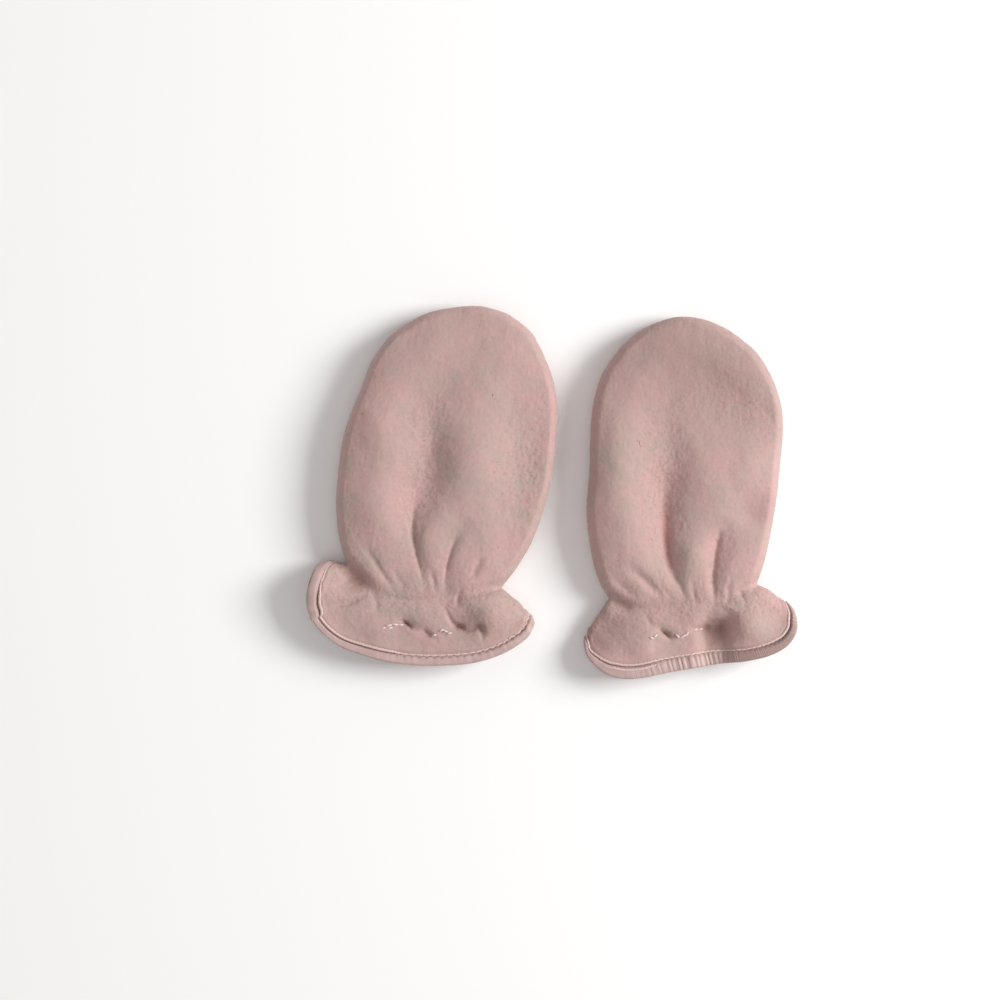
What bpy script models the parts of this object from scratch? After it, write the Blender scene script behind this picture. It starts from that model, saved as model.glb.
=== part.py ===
"""A pair of baby scratch mittens in pale pink fleece, laid palm down side by side.

Each mitten is a hollow bag of two panels, sewn together round the sides and the tip. A strip of
elastic inside the back panel gathers the wrist, and an overlocked band runs round the open hem.
Plans and heights are in millimetres in each mitten's own frame: x across the hand, y from the
wrist to the fingertips and z up from the surface that the mitten lies on.
"""

import math
from collections import namedtuple

import bmesh
import bpy
import numpy as np

MM = 0.001

# Cloth, thinner where the stitching presses the hem, and the gap that stands for a sewn seam
CLOTH = 2.0
HEM_CLOTH = 1.4
SEAM_GAP = 0.3
SEAM_HEIGHT = 5.2

# The overlocked band round the mouth: its wall, how far up the cloth it reaches, its rounding
BAND_CLOTH = 0.5
BAND_COVER = 2.8
BAND_ROUNDING = 0.35
BAND_REACH = SEAM_GAP + BAND_CLOTH

# The elastic inside the back panel, and the shares of the width between which it is sewn
ELASTIC_WIDTH = 5.0
ELASTIC_THICKNESS = 0.8
ELASTIC_SHARE = (0.26, 0.76)

# The flat strip under the band, how fast its direction turns at the two side seams, and the
# width over which the cloth eases out of it
STRIP = 3.6
STRIP_TURN = 0.10
HEM_EASE = 7.0

# The palm lies flat on the surface and rolls up to the seam over this width
PALM_ROLL = 5.6

# The back never sinks below this height, and never bends tighter than this down to the seam
LOWEST_TOP = 5.6
LOWEST_EASE = 1.2
CLOTH_BEND = 2.3

# Where the cuff's side edge ends at the notch, as a share of the way from the hem to the tip,
# and how quickly the bows of the tip and of the hem fade away from them
NOTCH_SHARE = 0.25
TIP_POWER = 3
HEM_POWER = 4

# Panel grids, closer together at the edges, at the wrist and along the back's first two folds
BACK_COLUMNS = 36
BACK_ROWS = 24
PALM_COLUMNS = 20
PALM_ROWS = 12
EDGE_WEIGHTS = (0.12, 0.3, 0.5, 0.7, 0.85)
PALM_EDGE_WEIGHTS = EDGE_WEIGHTS[1:4]
WRIST_WEIGHTS = (0.6,) * 11
FOLD_COLUMNS = (14, 21)
FOLD_WEIGHT = 0.65
ELASTIC_ROWS = slice(2, 5)

# Sampling of the curves, of the searches along them and of the directions taken from them
CURVE_STEPS = 12
SEARCH_STEPS = 201
FOLD_REACH = 0.5
DIRECTION_STEP = 0.002
NORMAL_PASSES = 2
SHARP_ANGLE = 60

Mitten = namedtuple(
    "Mitten",
    "name place turn hem cuff_left body_left tip body_right cuff_right elastic_from_hem folds mounds",
)
Crown = namedtuple("Crown", "y height rounding")
Fold = namedtuple("Fold", "x y depth left right")
Mound = namedtuple("Mound", "x y height radius")

# Height of the back panel over the hand, and the width over which it rolls down to the seam
CROWNS = (
    Crown(-36, 9.9, 7.5),
    Crown(-26, 10.3, 7.5),
    Crown(-17, 10.7, 8.0),
    Crown(-8, 11.7, 9.0),
    Crown(1, 13.0, 11.0),
    Crown(12, 14.9, 15.0),
    Crown(28, 16.4, 19.0),
    Crown(55, 16.8, 21.0),
    Crown(76, 15.4, 20.0),
    Crown(90, 12.8, 18.0),
    Crown(100, 11.0, 16.0),
)

# Small flutes where the palm is drawn in at the wrist
PALM_FLUTES = (
    (Fold(-17, 15, 0, 2.4, 2.4), Fold(-15, 6, 1.3, 2.0, 2.2), Fold(-13, -5, 0, 2.0, 2.0)),
    (Fold(-5, 18, 0, 2.6, 2.6), Fold(-5, 6, 1.5, 2.2, 2.0), Fold(-4, -7, 0, 2.0, 2.0)),
    (Fold(6, 14, 0, 2.4, 2.4), Fold(5, 5, 1.2, 1.8, 2.2), Fold(5, -6, 0, 2.0, 2.0)),
    (Fold(17, 17, 0, 2.6, 2.6), Fold(15, 7, 1.4, 2.2, 2.0), Fold(13, -4, 0, 2.0, 2.0)),
)

LEFT = Mitten(
    name="left",
    place=(-42.08, -29.99),
    turn=8.5,
    hem=(
        (-40.6, -1.0),
        (-42.3, -8.8),
        (-41.6, -16.5),
        (-37.4, -22.8),
        (-29.5, -27.9),
        (-19.6, -30.2),
        (-9.8, -31.2),
        (0.3, -30.8),
        (10.0, -29.3),
        (19.6, -26.9),
        (28.8, -22.4),
        (36.1, -16.0),
        (38.2, -10.9),
    ),
    cuff_left=((-34.5, 0.3), (-30.1, 0.8)),
    body_left=(
        (-30.1, 0.8),
        (-33.3, 7.4),
        (-36.1, 16.9),
        (-37.6, 31.9),
        (-37.4, 46.8),
        (-34.2, 61.4),
        (-32.1, 71.3),
        (-27.6, 80.4),
        (-24.3, 84.2),
    ),
    tip=(
        (-24.3, 84.2),
        (-16.7, 90.3),
        (-7.7, 94.3),
        (2.6, 96.5),
        (12.4, 95.3),
        (21.4, 90.6),
        (24.9, 87.0),
    ),
    body_right=(
        (25.0, 0.4),
        (30.3, 10.1),
        (33.5, 19.8),
        (36.2, 34.4),
        (36.6, 49.3),
        (35.2, 64.3),
        (32.4, 73.8),
        (27.8, 82.7),
        (24.9, 87.0),
    ),
    cuff_right=((35.5, -7.1), (32.2, -3.9), (28.6, -1.9), (25.0, 0.4)),
    elastic_from_hem=10.4,
    folds=(
        (
            Fold(-3.6, 66.7, 0.0, 7.0, 9.0),
            Fold(-5.3, 52.3, 1.3, 6.0, 9.0),
            Fold(-6.4, 42.7, 2.8, 4.6, 9.0),
            Fold(-7.0, 34.5, 4.4, 3.6, 8.0),
            Fold(-8.4, 27.5, 6.2, 2.8, 6.0),
            Fold(-9.0, 20.3, 7.6, 2.3, 4.6),
            Fold(-7.9, 13.4, 7.8, 2.1, 3.2),
            Fold(-5.6, 7.0, 6.0, 2.0, 2.8),
            Fold(-2.4, -0.4, 3.0, 2.0, 2.4),
            Fold(0.2, -8.5, 0.0, 2.0, 2.4),
        ),
        (
            Fold(8.7, 24.5, 0.0, 2.4, 4.0),
            Fold(7.4, 16.3, 3.4, 1.9, 3.6),
            Fold(5.8, 10.1, 5.0, 1.8, 3.0),
            Fold(5.2, 5.0, 4.2, 1.8, 2.6),
            Fold(5.6, -1.6, 1.9, 1.9, 2.4),
            Fold(6.4, -6.8, 0.0, 2.0, 2.4),
        ),
        (
            Fold(-25.6, 5.6, 0.0, 1.8, 1.8),
            Fold(-19.6, 0.6, 1.5, 1.7, 1.7),
            Fold(-15.1, -3.0, 1.4, 1.7, 1.7),
            Fold(-9.6, -7.0, 0.0, 1.8, 1.8),
        ),
        (
            Fold(-31.6, 1.6, 3.6, 2.2, 1.9),
            Fold(-27.8, -1.3, 5.2, 2.2, 1.9),
            Fold(-24.2, -4.0, 5.8, 2.1, 1.9),
            Fold(-20.6, -6.8, 4.2, 2.0, 2.0),
            Fold(-16.6, -8.7, 1.8, 2.0, 2.0),
            Fold(-9.5, -8.6, 0.9, 2.0, 2.0),
            Fold(1.5, -7.7, 0.9, 2.2, 2.2),
            Fold(9.0, -5.0, 1.3, 2.2, 2.2),
            Fold(17.5, -1.8, 1.8, 2.2, 2.2),
            Fold(25.6, 0.9, 2.6, 2.2, 2.2),
        ),
        (
            Fold(-11.6, -16.9, 0.0, 1.7, 1.7),
            Fold(-7.1, -16.6, 1.5, 1.7, 1.8),
            Fold(-4.2, -18.0, 2.2, 1.7, 1.8),
            Fold(-1.8, -19.8, 1.3, 1.7, 1.7),
            Fold(2.8, -19.9, 1.5, 1.7, 1.7),
            Fold(7.2, -18.8, 0.0, 1.7, 1.7),
        ),
        (
            Fold(4.9, -7.4, 0.0, 1.8, 1.8),
            Fold(8.2, -12.2, 1.7, 1.8, 1.7),
            Fold(11.4, -14.9, 2.8, 1.8, 1.7),
            Fold(15.5, -16.1, 3.1, 1.9, 1.8),
            Fold(19.5, -15.9, 3.0, 1.9, 1.8),
            Fold(21.9, -18.0, 1.7, 1.8, 1.8),
            Fold(23.9, -22.0, 0.0, 1.8, 1.8),
        ),
    ),
    mounds=(
        Mound(-17, 24, 1.0, 14),
        Mound(17, 38, 0.9, 16),
        Mound(-30, -8, 1.6, 8),
        Mound(26, -6.5, 1.6, 8),
        Mound(14, -3, 0.7, 5),
        Mound(-8, -24, 0.5, 7),
    ),
)

RIGHT = Mitten(
    name="right",
    place=(46.12, -34.19),
    turn=1.5,
    hem=(
        (-33.9, -19.6),
        (-32.9, -24.3),
        (-27.4, -29.4),
        (-21.2, -31.4),
        (-14.0, -31.1),
        (-5.0, -29.0),
        (4.0, -27.2),
        (13.5, -25.4),
        (23.0, -24.1),
        (31.2, -21.8),
        (36.9, -18.3),
        (39.9, -13.2),
        (39.7, -8.8),
        (38.3, -5.6),
    ),
    cuff_left=((-32.3, -13.8), (-29.8, -9.5), (-25.9, -3.6)),
    body_left=(
        (-25.9, -3.6),
        (-29.6, 2.4),
        (-32.5, 11.8),
        (-34.5, 26.8),
        (-34.0, 41.5),
        (-33.8, 56.5),
        (-32.7, 66.7),
        (-29.8, 75.9),
        (-24.2, 84.4),
    ),
    tip=(
        (-24.2, 84.4),
        (-16.7, 91.0),
        (-6.3, 95.2),
        (3.8, 95.0),
        (13.2, 91.6),
        (21.6, 85.7),
    ),
    body_right=(
        (26.0, 2.9),
        (28.0, 9.5),
        (30.0, 19.0),
        (31.4, 29.2),
        (32.7, 43.9),
        (33.5, 53.7),
        (33.0, 63.9),
        (30.1, 73.3),
        (24.9, 82.0),
        (21.6, 85.7),
    ),
    cuff_right=((33.9, -2.2), (30.3, 0.8), (26.0, 2.9)),
    elastic_from_hem=12.0,
    folds=(
        (
            Fold(-6.2, 66.6, 0.0, 6.0, 9.0),
            Fold(-7.6, 55.1, 1.8, 4.4, 9.0),
            Fold(-8.0, 45.3, 4.4, 3.2, 8.0),
            Fold(-7.6, 36.6, 6.2, 2.8, 6.8),
            Fold(-6.8, 27.8, 7.2, 2.5, 5.6),
            Fold(-6.2, 19.1, 7.8, 2.3, 4.4),
            Fold(-4.8, 11.8, 7.4, 2.1, 3.4),
            Fold(-2.4, 5.2, 5.2, 2.0, 2.8),
            Fold(0.2, -0.7, 2.4, 2.0, 2.4),
            Fold(2.2, -6.6, 0.0, 2.0, 2.4),
        ),
        (
            Fold(15.0, 27.0, 0.0, 2.4, 4.6),
            Fold(12.6, 20.3, 3.8, 1.9, 4.2),
            Fold(11.9, 15.4, 5.2, 1.8, 4.0),
            Fold(11.6, 10.8, 5.0, 1.8, 3.4),
            Fold(11.1, 4.8, 3.0, 1.9, 2.6),
            Fold(10.9, -1.1, 1.5, 2.0, 2.4),
            Fold(10.6, -6.3, 0.0, 2.0, 2.4),
        ),
        (
            Fold(-21.6, 9.0, 0.0, 2.4, 2.4),
            Fold(-15.2, 4.2, 1.5, 2.2, 2.0),
            Fold(-10.9, 0.4, 1.4, 2.0, 2.0),
            Fold(-6.2, -3.6, 0.0, 2.0, 2.0),
        ),
        (
            Fold(-25.6, 3.2, 0.0, 2.2, 2.2),
            Fold(-19.9, -0.7, 1.0, 2.2, 2.2),
            Fold(-14.4, -4.2, 0.0, 2.2, 2.2),
        ),
        (
            Fold(-27.4, -2.6, 3.2, 2.4, 2.4),
            Fold(-24.0, -4.5, 3.8, 2.4, 2.4),
            Fold(-20.5, -5.8, 3.0, 2.4, 2.2),
            Fold(-16.6, -6.8, 1.5, 2.4, 2.2),
            Fold(-8.0, -6.6, 0.8, 2.4, 2.4),
            Fold(4.0, -4.6, 0.7, 2.4, 2.4),
            Fold(15.0, -2.4, 0.9, 2.4, 2.4),
            Fold(21.0, 0.6, 1.5, 2.4, 2.4),
            Fold(26.6, 3.3, 2.6, 2.4, 2.4),
        ),
        (
            Fold(20.4, -0.6, 0.0, 2.4, 3.0),
            Fold(17.4, -6.3, 1.5, 2.4, 3.2),
            Fold(15.0, -11.5, 2.1, 2.4, 3.0),
            Fold(12.8, -16.0, 1.7, 2.6, 2.8),
            Fold(10.8, -21.5, 0.0, 2.4, 2.4),
        ),
        (
            Fold(-11.8, -13.0, 0.0, 1.8, 1.8),
            Fold(-7.9, -14.4, 2.0, 1.8, 1.8),
            Fold(-5.0, -15.9, 2.0, 1.8, 1.8),
            Fold(-2.6, -18.0, 0.0, 1.8, 1.8),
        ),
        (
            Fold(1.8, -12.8, 0.0, 1.8, 1.8),
            Fold(7.0, -13.6, 1.5, 1.8, 1.8),
            Fold(11.9, -14.4, 1.7, 2.0, 2.0),
            Fold(15.8, -13.9, 1.9, 2.0, 2.0),
            Fold(20.0, -12.0, 0.0, 1.8, 1.8),
        ),
        (
            Fold(-11.6, -15.4, 0.0, 1.6, 1.6),
            Fold(-11.0, -19.9, 0.9, 1.6, 1.6),
            Fold(-10.9, -25.0, 0.0, 1.6, 1.6),
        ),
    ),
    mounds=(
        Mound(-18, 28, 1.1, 14),
        Mound(18, 38, 0.8, 15),
        Mound(27, -7, 1.8, 9),
        Mound(-19, -17, 1.2, 9),
        Mound(3, 10, 0.5, 6),
    ),
)


def smooth_curve(points):
    """Points along a Catmull-Rom curve through the rows of a table, whatever their columns."""
    points = np.array([tuple(point) for point in points], float)
    before = 2 * points[0] - points[1]
    after = 2 * points[-1] - points[-2]
    knots = np.vstack([before, points, after])
    share = np.linspace(0, 1, CURVE_STEPS, endpoint=False)[:, None]
    runs = []
    for a, b, c, d in zip(knots, knots[1:], knots[2:], knots[3:]):
        straight = 2 * b + (c - a) * share
        bend = (2 * a - 5 * b + 4 * c - d) * share**2 + (3 * b - a - 3 * c + d) * share**3
        runs.append((straight + bend) / 2)
    return np.vstack([*runs, points[-1:]])


def along(curve, shares):
    """Places at the given shares of a curve's length."""
    steps = np.linalg.norm(np.diff(curve, axis=0), axis=1)
    length = np.concatenate([[0], np.cumsum(steps)])
    at = np.clip(shares, 0, 1) * length[-1]
    return np.stack([np.interp(at, length, column) for column in curve.T], axis=-1)


def unit(vectors):
    return vectors / np.linalg.norm(vectors, axis=-1, keepdims=True)


def ease(share):
    """0 to 1, level at both ends."""
    share = np.clip(share, 0, 1)
    return share * share * (3 - 2 * share)


def turned(vectors, angles):
    """Plan vectors turned anticlockwise."""
    c, s = np.cos(angles), np.sin(angles)
    x, y = vectors[..., 0], vectors[..., 1]
    return np.stack([x * c - y * s, x * s + y * c], axis=-1)


def angle_between(a, b):
    return math.atan2(a[0] * b[1] - a[1] * b[0], a[0] * b[0] + a[1] * b[1])


def spread(count, start_weights, end_weights):
    """Rising shares from 0 to 1, closer together at the weighted ends."""
    weights = np.ones(count - 1)
    weights[: len(start_weights)] = start_weights
    weights[count - 1 - len(end_weights) :] = end_weights[::-1]
    return np.concatenate([[0], np.cumsum(weights)]) / weights.sum()


class Plan:
    """A mitten seen from above.

    u runs across, 0 to 1. v runs from -1 at the panels' hem edge over the strip to 0, and on to
    1 at the tip.
    """

    def __init__(self, mitten):
        self.rim = smooth_curve(mitten.hem)
        self.ends = [
            unit(np.subtract(mitten.cuff_left[0], mitten.hem[0])),
            unit(np.subtract(mitten.cuff_right[0], mitten.hem[-1])),
        ]
        rim_normals = self.rim_normals(np.array([0.0, 1.0]))
        self.turns = [angle_between(n, e) for n, e in zip(rim_normals, self.ends)]
        reach = BAND_REACH + STRIP
        starts = [self.rim[0] + reach * self.ends[0], self.rim[-1] + reach * self.ends[1]]
        self.cuffs = [
            smooth_curve([starts[0], *mitten.cuff_left]),
            smooth_curve([starts[1], *mitten.cuff_right]),
        ]
        self.bodies = [smooth_curve(mitten.body_left), smooth_curve(mitten.body_right)]
        self.tip = smooth_curve(mitten.tip)
        corners = [self.rim[0] - reach * self.ends[0], self.rim[-1] - reach * self.ends[1]]
        left = [corners[0][None], self.cuffs[0], self.bodies[0][1:]]
        right = [self.bodies[1][-2::-1], self.cuffs[1][-2::-1], corners[1][None]]
        self.seam = np.vstack([*left, self.tip[1:], *right])

    def rim_normals(self, u):
        ahead = along(self.rim, np.minimum(u + DIRECTION_STEP, 1))
        behind = along(self.rim, np.maximum(u - DIRECTION_STEP, 0))
        return turned(unit(ahead - behind), math.pi / 2)

    def inward(self, u):
        """The way from the hem into the panel, in line with the side edges at both ends."""
        angle = self.turns[0] * (1 - ease(u / STRIP_TURN))
        angle = angle + self.turns[1] * (1 - ease((1 - u) / STRIP_TURN))
        return turned(self.rim_normals(u), angle)

    def strip(self, u, distance):
        """Places this far in from the panels' hem edge, or out from it if negative."""
        reach = BAND_REACH + np.asarray(distance)
        return along(self.rim, u) + reach * self.inward(u)

    def side(self, index, v):
        cuff = along(self.cuffs[index], v / NOTCH_SHARE)
        body = along(self.bodies[index], (v - NOTCH_SHARE) / (1 - NOTCH_SHARE))
        return np.where((v < NOTCH_SHARE)[..., None], cuff, body)

    def place(self, u, v):
        inner = np.clip(v, 0, 1)
        across = u[..., None]
        left, right = self.side(0, inner), self.side(1, inner)
        hem = self.strip(u, STRIP)
        hem_ends = self.strip(np.array([0.0, 1.0]), STRIP)
        hem_bow = hem - (1 - across) * hem_ends[0] - across * hem_ends[1]
        tip_bow = along(self.tip, u) - (1 - across) * self.tip[0] - across * self.tip[-1]
        near_hem = ((1 - inner) ** HEM_POWER)[..., None]
        near_tip = (inner**TIP_POWER)[..., None]
        body = (1 - across) * left + across * right + near_hem * hem_bow + near_tip * tip_bow
        edge = self.strip(u, 0)
        into = np.clip(1 + v, 0, 1)[..., None]
        return np.where((v < 0)[..., None], edge + (hem - edge) * into, body)

    def to_seam(self, places):
        return distance_to(places, self.seam)[0]

    def row_at(self, distance):
        """The v of the row this far from the panels' edge at mid width."""
        v = np.linspace(0, 1, SEARCH_STEPS)
        mid_width = np.full_like(v, 0.5)
        middle = self.place(mid_width, v)
        edge = self.strip(mid_width[:1], 0)
        return float(np.interp(distance, np.linalg.norm(middle - edge, axis=1), v))


def distance_to(places, line):
    """Each place's distance to a polyline, the nearest piece and the share of it, and the side."""
    start, step = line[:-1], np.diff(line, axis=0)
    offset = places[..., None, :] - start
    share = np.clip((offset * step).sum(-1) / (step * step).sum(-1), 0, 1)
    gap = np.linalg.norm(offset - share[..., None] * step, axis=-1)
    near = gap.argmin(-1)[..., None]
    cross = step[:, 0] * offset[..., 1] - step[:, 1] * offset[..., 0]
    found = [np.take_along_axis(values, near, -1)[..., 0] for values in (gap, share, cross)]
    return found[0], near[..., 0], found[1], found[2]


def fold_depth(places, rows):
    """How far a fold sinks: its depth and its widths left and right change along its path.

    A fold's table runs down from the tip or across from the left, so its left is its right hand.
    """
    path = smooth_curve(rows)
    gap, piece, share, side = distance_to(places, path[:, :2])
    sizes = path[:-1, 2:][piece] + np.diff(path[:, 2:], axis=0)[piece] * share[..., None]
    depth, left, right = np.moveaxis(sizes, -1, 0)
    width = np.where(side < 0, left, right)
    return np.maximum(depth, 0) * np.exp(-((gap / width) ** 2))


def column_of(table, at, name):
    rows = smooth_curve(table)
    return np.interp(at, rows[:, 0], rows[:, table[0]._fields.index(name)])


def roll(share):
    """A quarter circle from 0 at the seam to 1."""
    return np.sqrt(1 - (1 - np.clip(share, 0, 1)) ** 2)


def back_height(mitten, plan, places):
    y = places[..., 1]
    height = column_of(CROWNS, y, "height")
    for mound in mitten.mounds:
        away = np.hypot(places[..., 0] - mound.x, y - mound.y)
        height = height + mound.height * np.exp(-((away / mound.radius) ** 2))
    for rows in mitten.folds:
        height = height - fold_depth(places, rows)
    over = height - LOWEST_TOP
    height = LOWEST_TOP + (over + np.sqrt(over**2 + LOWEST_EASE**2)) / 2
    seam = SEAM_HEIGHT + SEAM_GAP / 2
    tightest = (height - seam) ** 2 / CLOTH_BEND
    rounding = np.minimum(column_of(CROWNS, y, "rounding"), tightest)
    return seam + (height - seam) * roll(plan.to_seam(places) / rounding)


def palm_height(plan, places, beyond_strip):
    base = BAND_REACH * (1 - ease(beyond_strip / HEM_EASE))
    for rows in PALM_FLUTES:
        base = base + fold_depth(places, rows)
    seam = SEAM_HEIGHT - SEAM_GAP / 2
    return seam + (base - seam) * roll(plan.to_seam(places) / PALM_ROLL)


def edge_normals(plan, places, normals):
    """Level normals, square to the plan's outline, along the two sides and the tip."""
    for column, sign in ((0, 1), (-1, -1)):
        run = np.gradient(places[:, column, :2], axis=0)
        run[:2] = plan.ends[column]
        normals[:, column, :2] = turned(unit(run), sign * math.pi / 2)
        normals[:, column, 2] = 0
    run = unit(np.gradient(places[-1, :, :2], axis=0))
    normals[-1, :, :2] = turned(run, math.pi / 2)
    normals[-1, :, 2] = 0


def wall_normals(plan, places, u, up):
    """Unit normals of the outer surface, smoothed, and square to the strip along the hem."""
    across = np.gradient(places, axis=1)
    ahead = np.gradient(places, axis=0)
    normals = unit(np.cross(across, ahead)) * up
    inward = np.concatenate([plan.inward(u), np.zeros((len(u), 1))], axis=1)
    along_hem = across[1].copy()
    along_hem[0] = (0, 0, 1)
    along_hem[-1] = (0, 0, -1)
    square = unit(np.cross(along_hem, inward))
    square[1:-1] *= up
    for _ in range(NORMAL_PASSES):
        edge_normals(plan, places, normals)
        normals[0] = normals[1] = square
        inner = normals[1:-1, 1:-1]
        near = normals[:-2, 1:-1] + normals[2:, 1:-1] + normals[1:-1, :-2] + normals[1:-1, 2:]
        normals[1:-1, 1:-1] = unit(2 * inner + near)
    edge_normals(plan, places, normals)
    normals[0] = normals[1] = square
    return normals


def sheet_mesh(name, upper, lower):
    """One closed wall between two grids of places, the upper one facing up."""
    rows, columns = upper.shape[:2]
    shape = bmesh.new()
    grids = [
        [[shape.verts.new(place * MM) for place in row] for row in grid] for grid in (upper, lower)
    ]
    for grid, outward in zip(grids, (True, False)):
        for r in range(rows - 1):
            for c in range(columns - 1):
                a, b = grid[r][c], grid[r][c + 1]
                d, e = grid[r + 1][c], grid[r + 1][c + 1]
                halves = ((a, b, d), (b, e, d)) if c < columns / 2 - 1 else ((a, b, e), (a, e, d))
                for half in halves:
                    shape.faces.new(half if outward else half[::-1])
    last_row, last_column = rows - 1, columns - 1
    loop = [(0, c) for c in range(last_column)]
    loop += [(r, last_column) for r in range(last_row)]
    loop += [(last_row, c) for c in range(last_column, 0, -1)]
    loop += [(r, 0) for r in range(last_row, 0, -1)]
    for (r, c), (next_r, next_c) in zip(loop, loop[1:] + loop[:1]):
        top, next_top = grids[0][r][c], grids[0][next_r][next_c]
        under, next_under = grids[1][r][c], grids[1][next_r][next_c]
        shape.faces.new((under, next_under, next_top, top))
    return finished(name, shape)


def ring_mesh(name, sections):
    """One closed ring through profiles that each have the same number of places."""
    shape = bmesh.new()
    rings = [[shape.verts.new(place * MM) for place in section] for section in sections]
    for ring, after in zip(rings, rings[1:] + rings[:1]):
        for i, corner in enumerate(ring):
            j = (i + 1) % len(ring)
            shape.faces.new((corner, ring[j], after[j], after[i]))
    bmesh.ops.recalc_face_normals(shape, faces=shape.faces)
    return finished(name, shape)


def finished(name, shape):
    mesh = bpy.data.meshes.new(name)
    shape.to_mesh(mesh)
    shape.free()
    mesh.shade_smooth()
    mesh.set_sharp_from_angle(angle=math.radians(SHARP_ANGLE))
    return bpy.data.objects.new(name, mesh)


def fold_share(plan, rows, table):
    """The u at which each row crosses a fold, held level past the fold's ends."""
    path = smooth_curve(table)[:, :2]
    u = np.linspace(0, 1, SEARCH_STEPS)
    gaps = np.array([distance_to(plan.place(u, np.full_like(u, v)), path)[0] for v in rows])
    crossed = (gaps.min(axis=1) < FOLD_REACH) & (rows > 0)
    return np.interp(rows, rows[crossed], u[gaps.argmin(axis=1)][crossed])


def back_columns(mitten, plan, rows):
    """The u of every grid point: two of the columns run down the first two folds."""
    weights = np.ones(BACK_COLUMNS - 1)
    weights[: len(EDGE_WEIGHTS)] = EDGE_WEIGHTS
    weights[-len(EDGE_WEIGHTS) :] = EDGE_WEIGHTS[::-1]
    for column in FOLD_COLUMNS:
        weights[column - 2 : column + 2] *= FOLD_WEIGHT
    even = np.concatenate([[0], np.cumsum(weights)]) / weights.sum()
    first, second = (fold_share(plan, rows, table) for table in mitten.folds[:2])
    marks = [0, *even[list(FOLD_COLUMNS)], 1]
    return np.array([np.interp(even, marks, [0, a, b, 1]) for a, b in zip(first, second)])


def from_strip(places, v):
    return np.where(v > 0, np.linalg.norm(places - places[1], axis=-1), 0)


def cloth_thickness(places, v):
    """Thinner where the stitching presses the hem, full from a little further in."""
    return HEM_CLOTH + (CLOTH - HEM_CLOTH) * ease(from_strip(places, v) / HEM_EASE)


def panel_walls(plan, u, v, places, height, up):
    """A panel's outer and inner surfaces, its normals and the u of its hem's points."""
    height[0] = height[1]
    outer = np.dstack([places, height])
    normals = wall_normals(plan, outer, u[0], up)
    inner = outer - cloth_thickness(places, v)[..., None] * normals
    return outer, inner, normals, u[0]


def back_panel(mitten, plan):
    middle = mitten.elastic_from_hem
    half = ELASTIC_WIDTH / 2
    elastic = [plan.row_at(middle + offset) for offset in (-half, 0, half)]
    start = plan.row_at(middle + 2 * half)
    rest = start + (1 - start) * spread(BACK_ROWS, WRIST_WEIGHTS, EDGE_WEIGHTS)
    rest[np.abs(rest - NOTCH_SHARE).argmin()] = NOTCH_SHARE
    rows = np.concatenate([[-1, 0], elastic, rest])
    u = back_columns(mitten, plan, rows)
    v = np.repeat(rows[:, None], BACK_COLUMNS, axis=1)
    places = plan.place(u, v)
    return panel_walls(plan, u, v, places, back_height(mitten, plan, places), 1)


def palm_panel(plan):
    start = plan.row_at(STRIP + HEM_EASE)
    rest = start + (1 - start) * spread(PALM_ROWS, (), PALM_EDGE_WEIGHTS)
    rest[np.abs(rest - NOTCH_SHARE).argmin()] = NOTCH_SHARE
    rows = np.concatenate([[-1, 0, start / 2], rest])
    columns = spread(PALM_COLUMNS, PALM_EDGE_WEIGHTS, PALM_EDGE_WEIGHTS)
    u, v = np.meshgrid(columns, rows)
    places = plan.place(u, v)
    return panel_walls(plan, u, v, places, palm_height(plan, places, from_strip(places, v)), -1)


def band_profile():
    """The band's section round the panel's edge: s out from the edge, n out from mid cloth."""
    inside = HEM_CLOTH / 2 + SEAM_GAP
    outside = inside + BAND_CLOTH
    corner = BAND_ROUNDING
    flap = [(-BAND_COVER, inside), (-BAND_COVER, outside), (BAND_REACH - corner * 2, outside)]
    bend = [(BAND_REACH, outside - corner * 2)]
    half = flap + bend
    return half + [(s, -n) for s, n in half[::-1]] + [(SEAM_GAP, -inside), (SEAM_GAP, inside)]


def band_sections(plan, back, palm):
    """Profiles all round the mouth: out along the back's hem and home along the palm's."""
    sections = []
    for (outer, inner, normals, columns), order in ((back, 1), (palm, -1)):
        numbers = range(len(columns)) if order > 0 else range(len(columns) - 2, 0, -1)
        outward = -plan.inward(columns)
        for c in numbers:
            middle = (outer[0, c] + inner[0, c]) / 2
            if c in (0, len(columns) - 1):
                middle[2] = SEAM_HEIGHT
            out = np.append(outward[c], 0)
            sections.append([middle + s * out + n * normals[0, c] for s, n in band_profile()])
    return sections


def elastic_surfaces(back):
    outer, inner, normals, columns = back
    first, last = (int(np.abs(columns - share).argmin()) for share in ELASTIC_SHARE)
    across = slice(first, last + 1)
    under, away = inner[ELASTIC_ROWS, across], normals[ELASTIC_ROWS, across]
    upper = under - SEAM_GAP * away
    return upper, upper - ELASTIC_THICKNESS * away


def principled(name, color, roughness):
    material = bpy.data.materials.new(name)
    material.use_nodes = True
    shader = material.node_tree.nodes["Principled BSDF"]
    shader.inputs["Base Color"].default_value = (*color, 1)
    shader.inputs["Roughness"].default_value = roughness
    shader.inputs["Metallic"].default_value = 0
    material.diffuse_color = (*color, 1)
    return material


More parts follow.
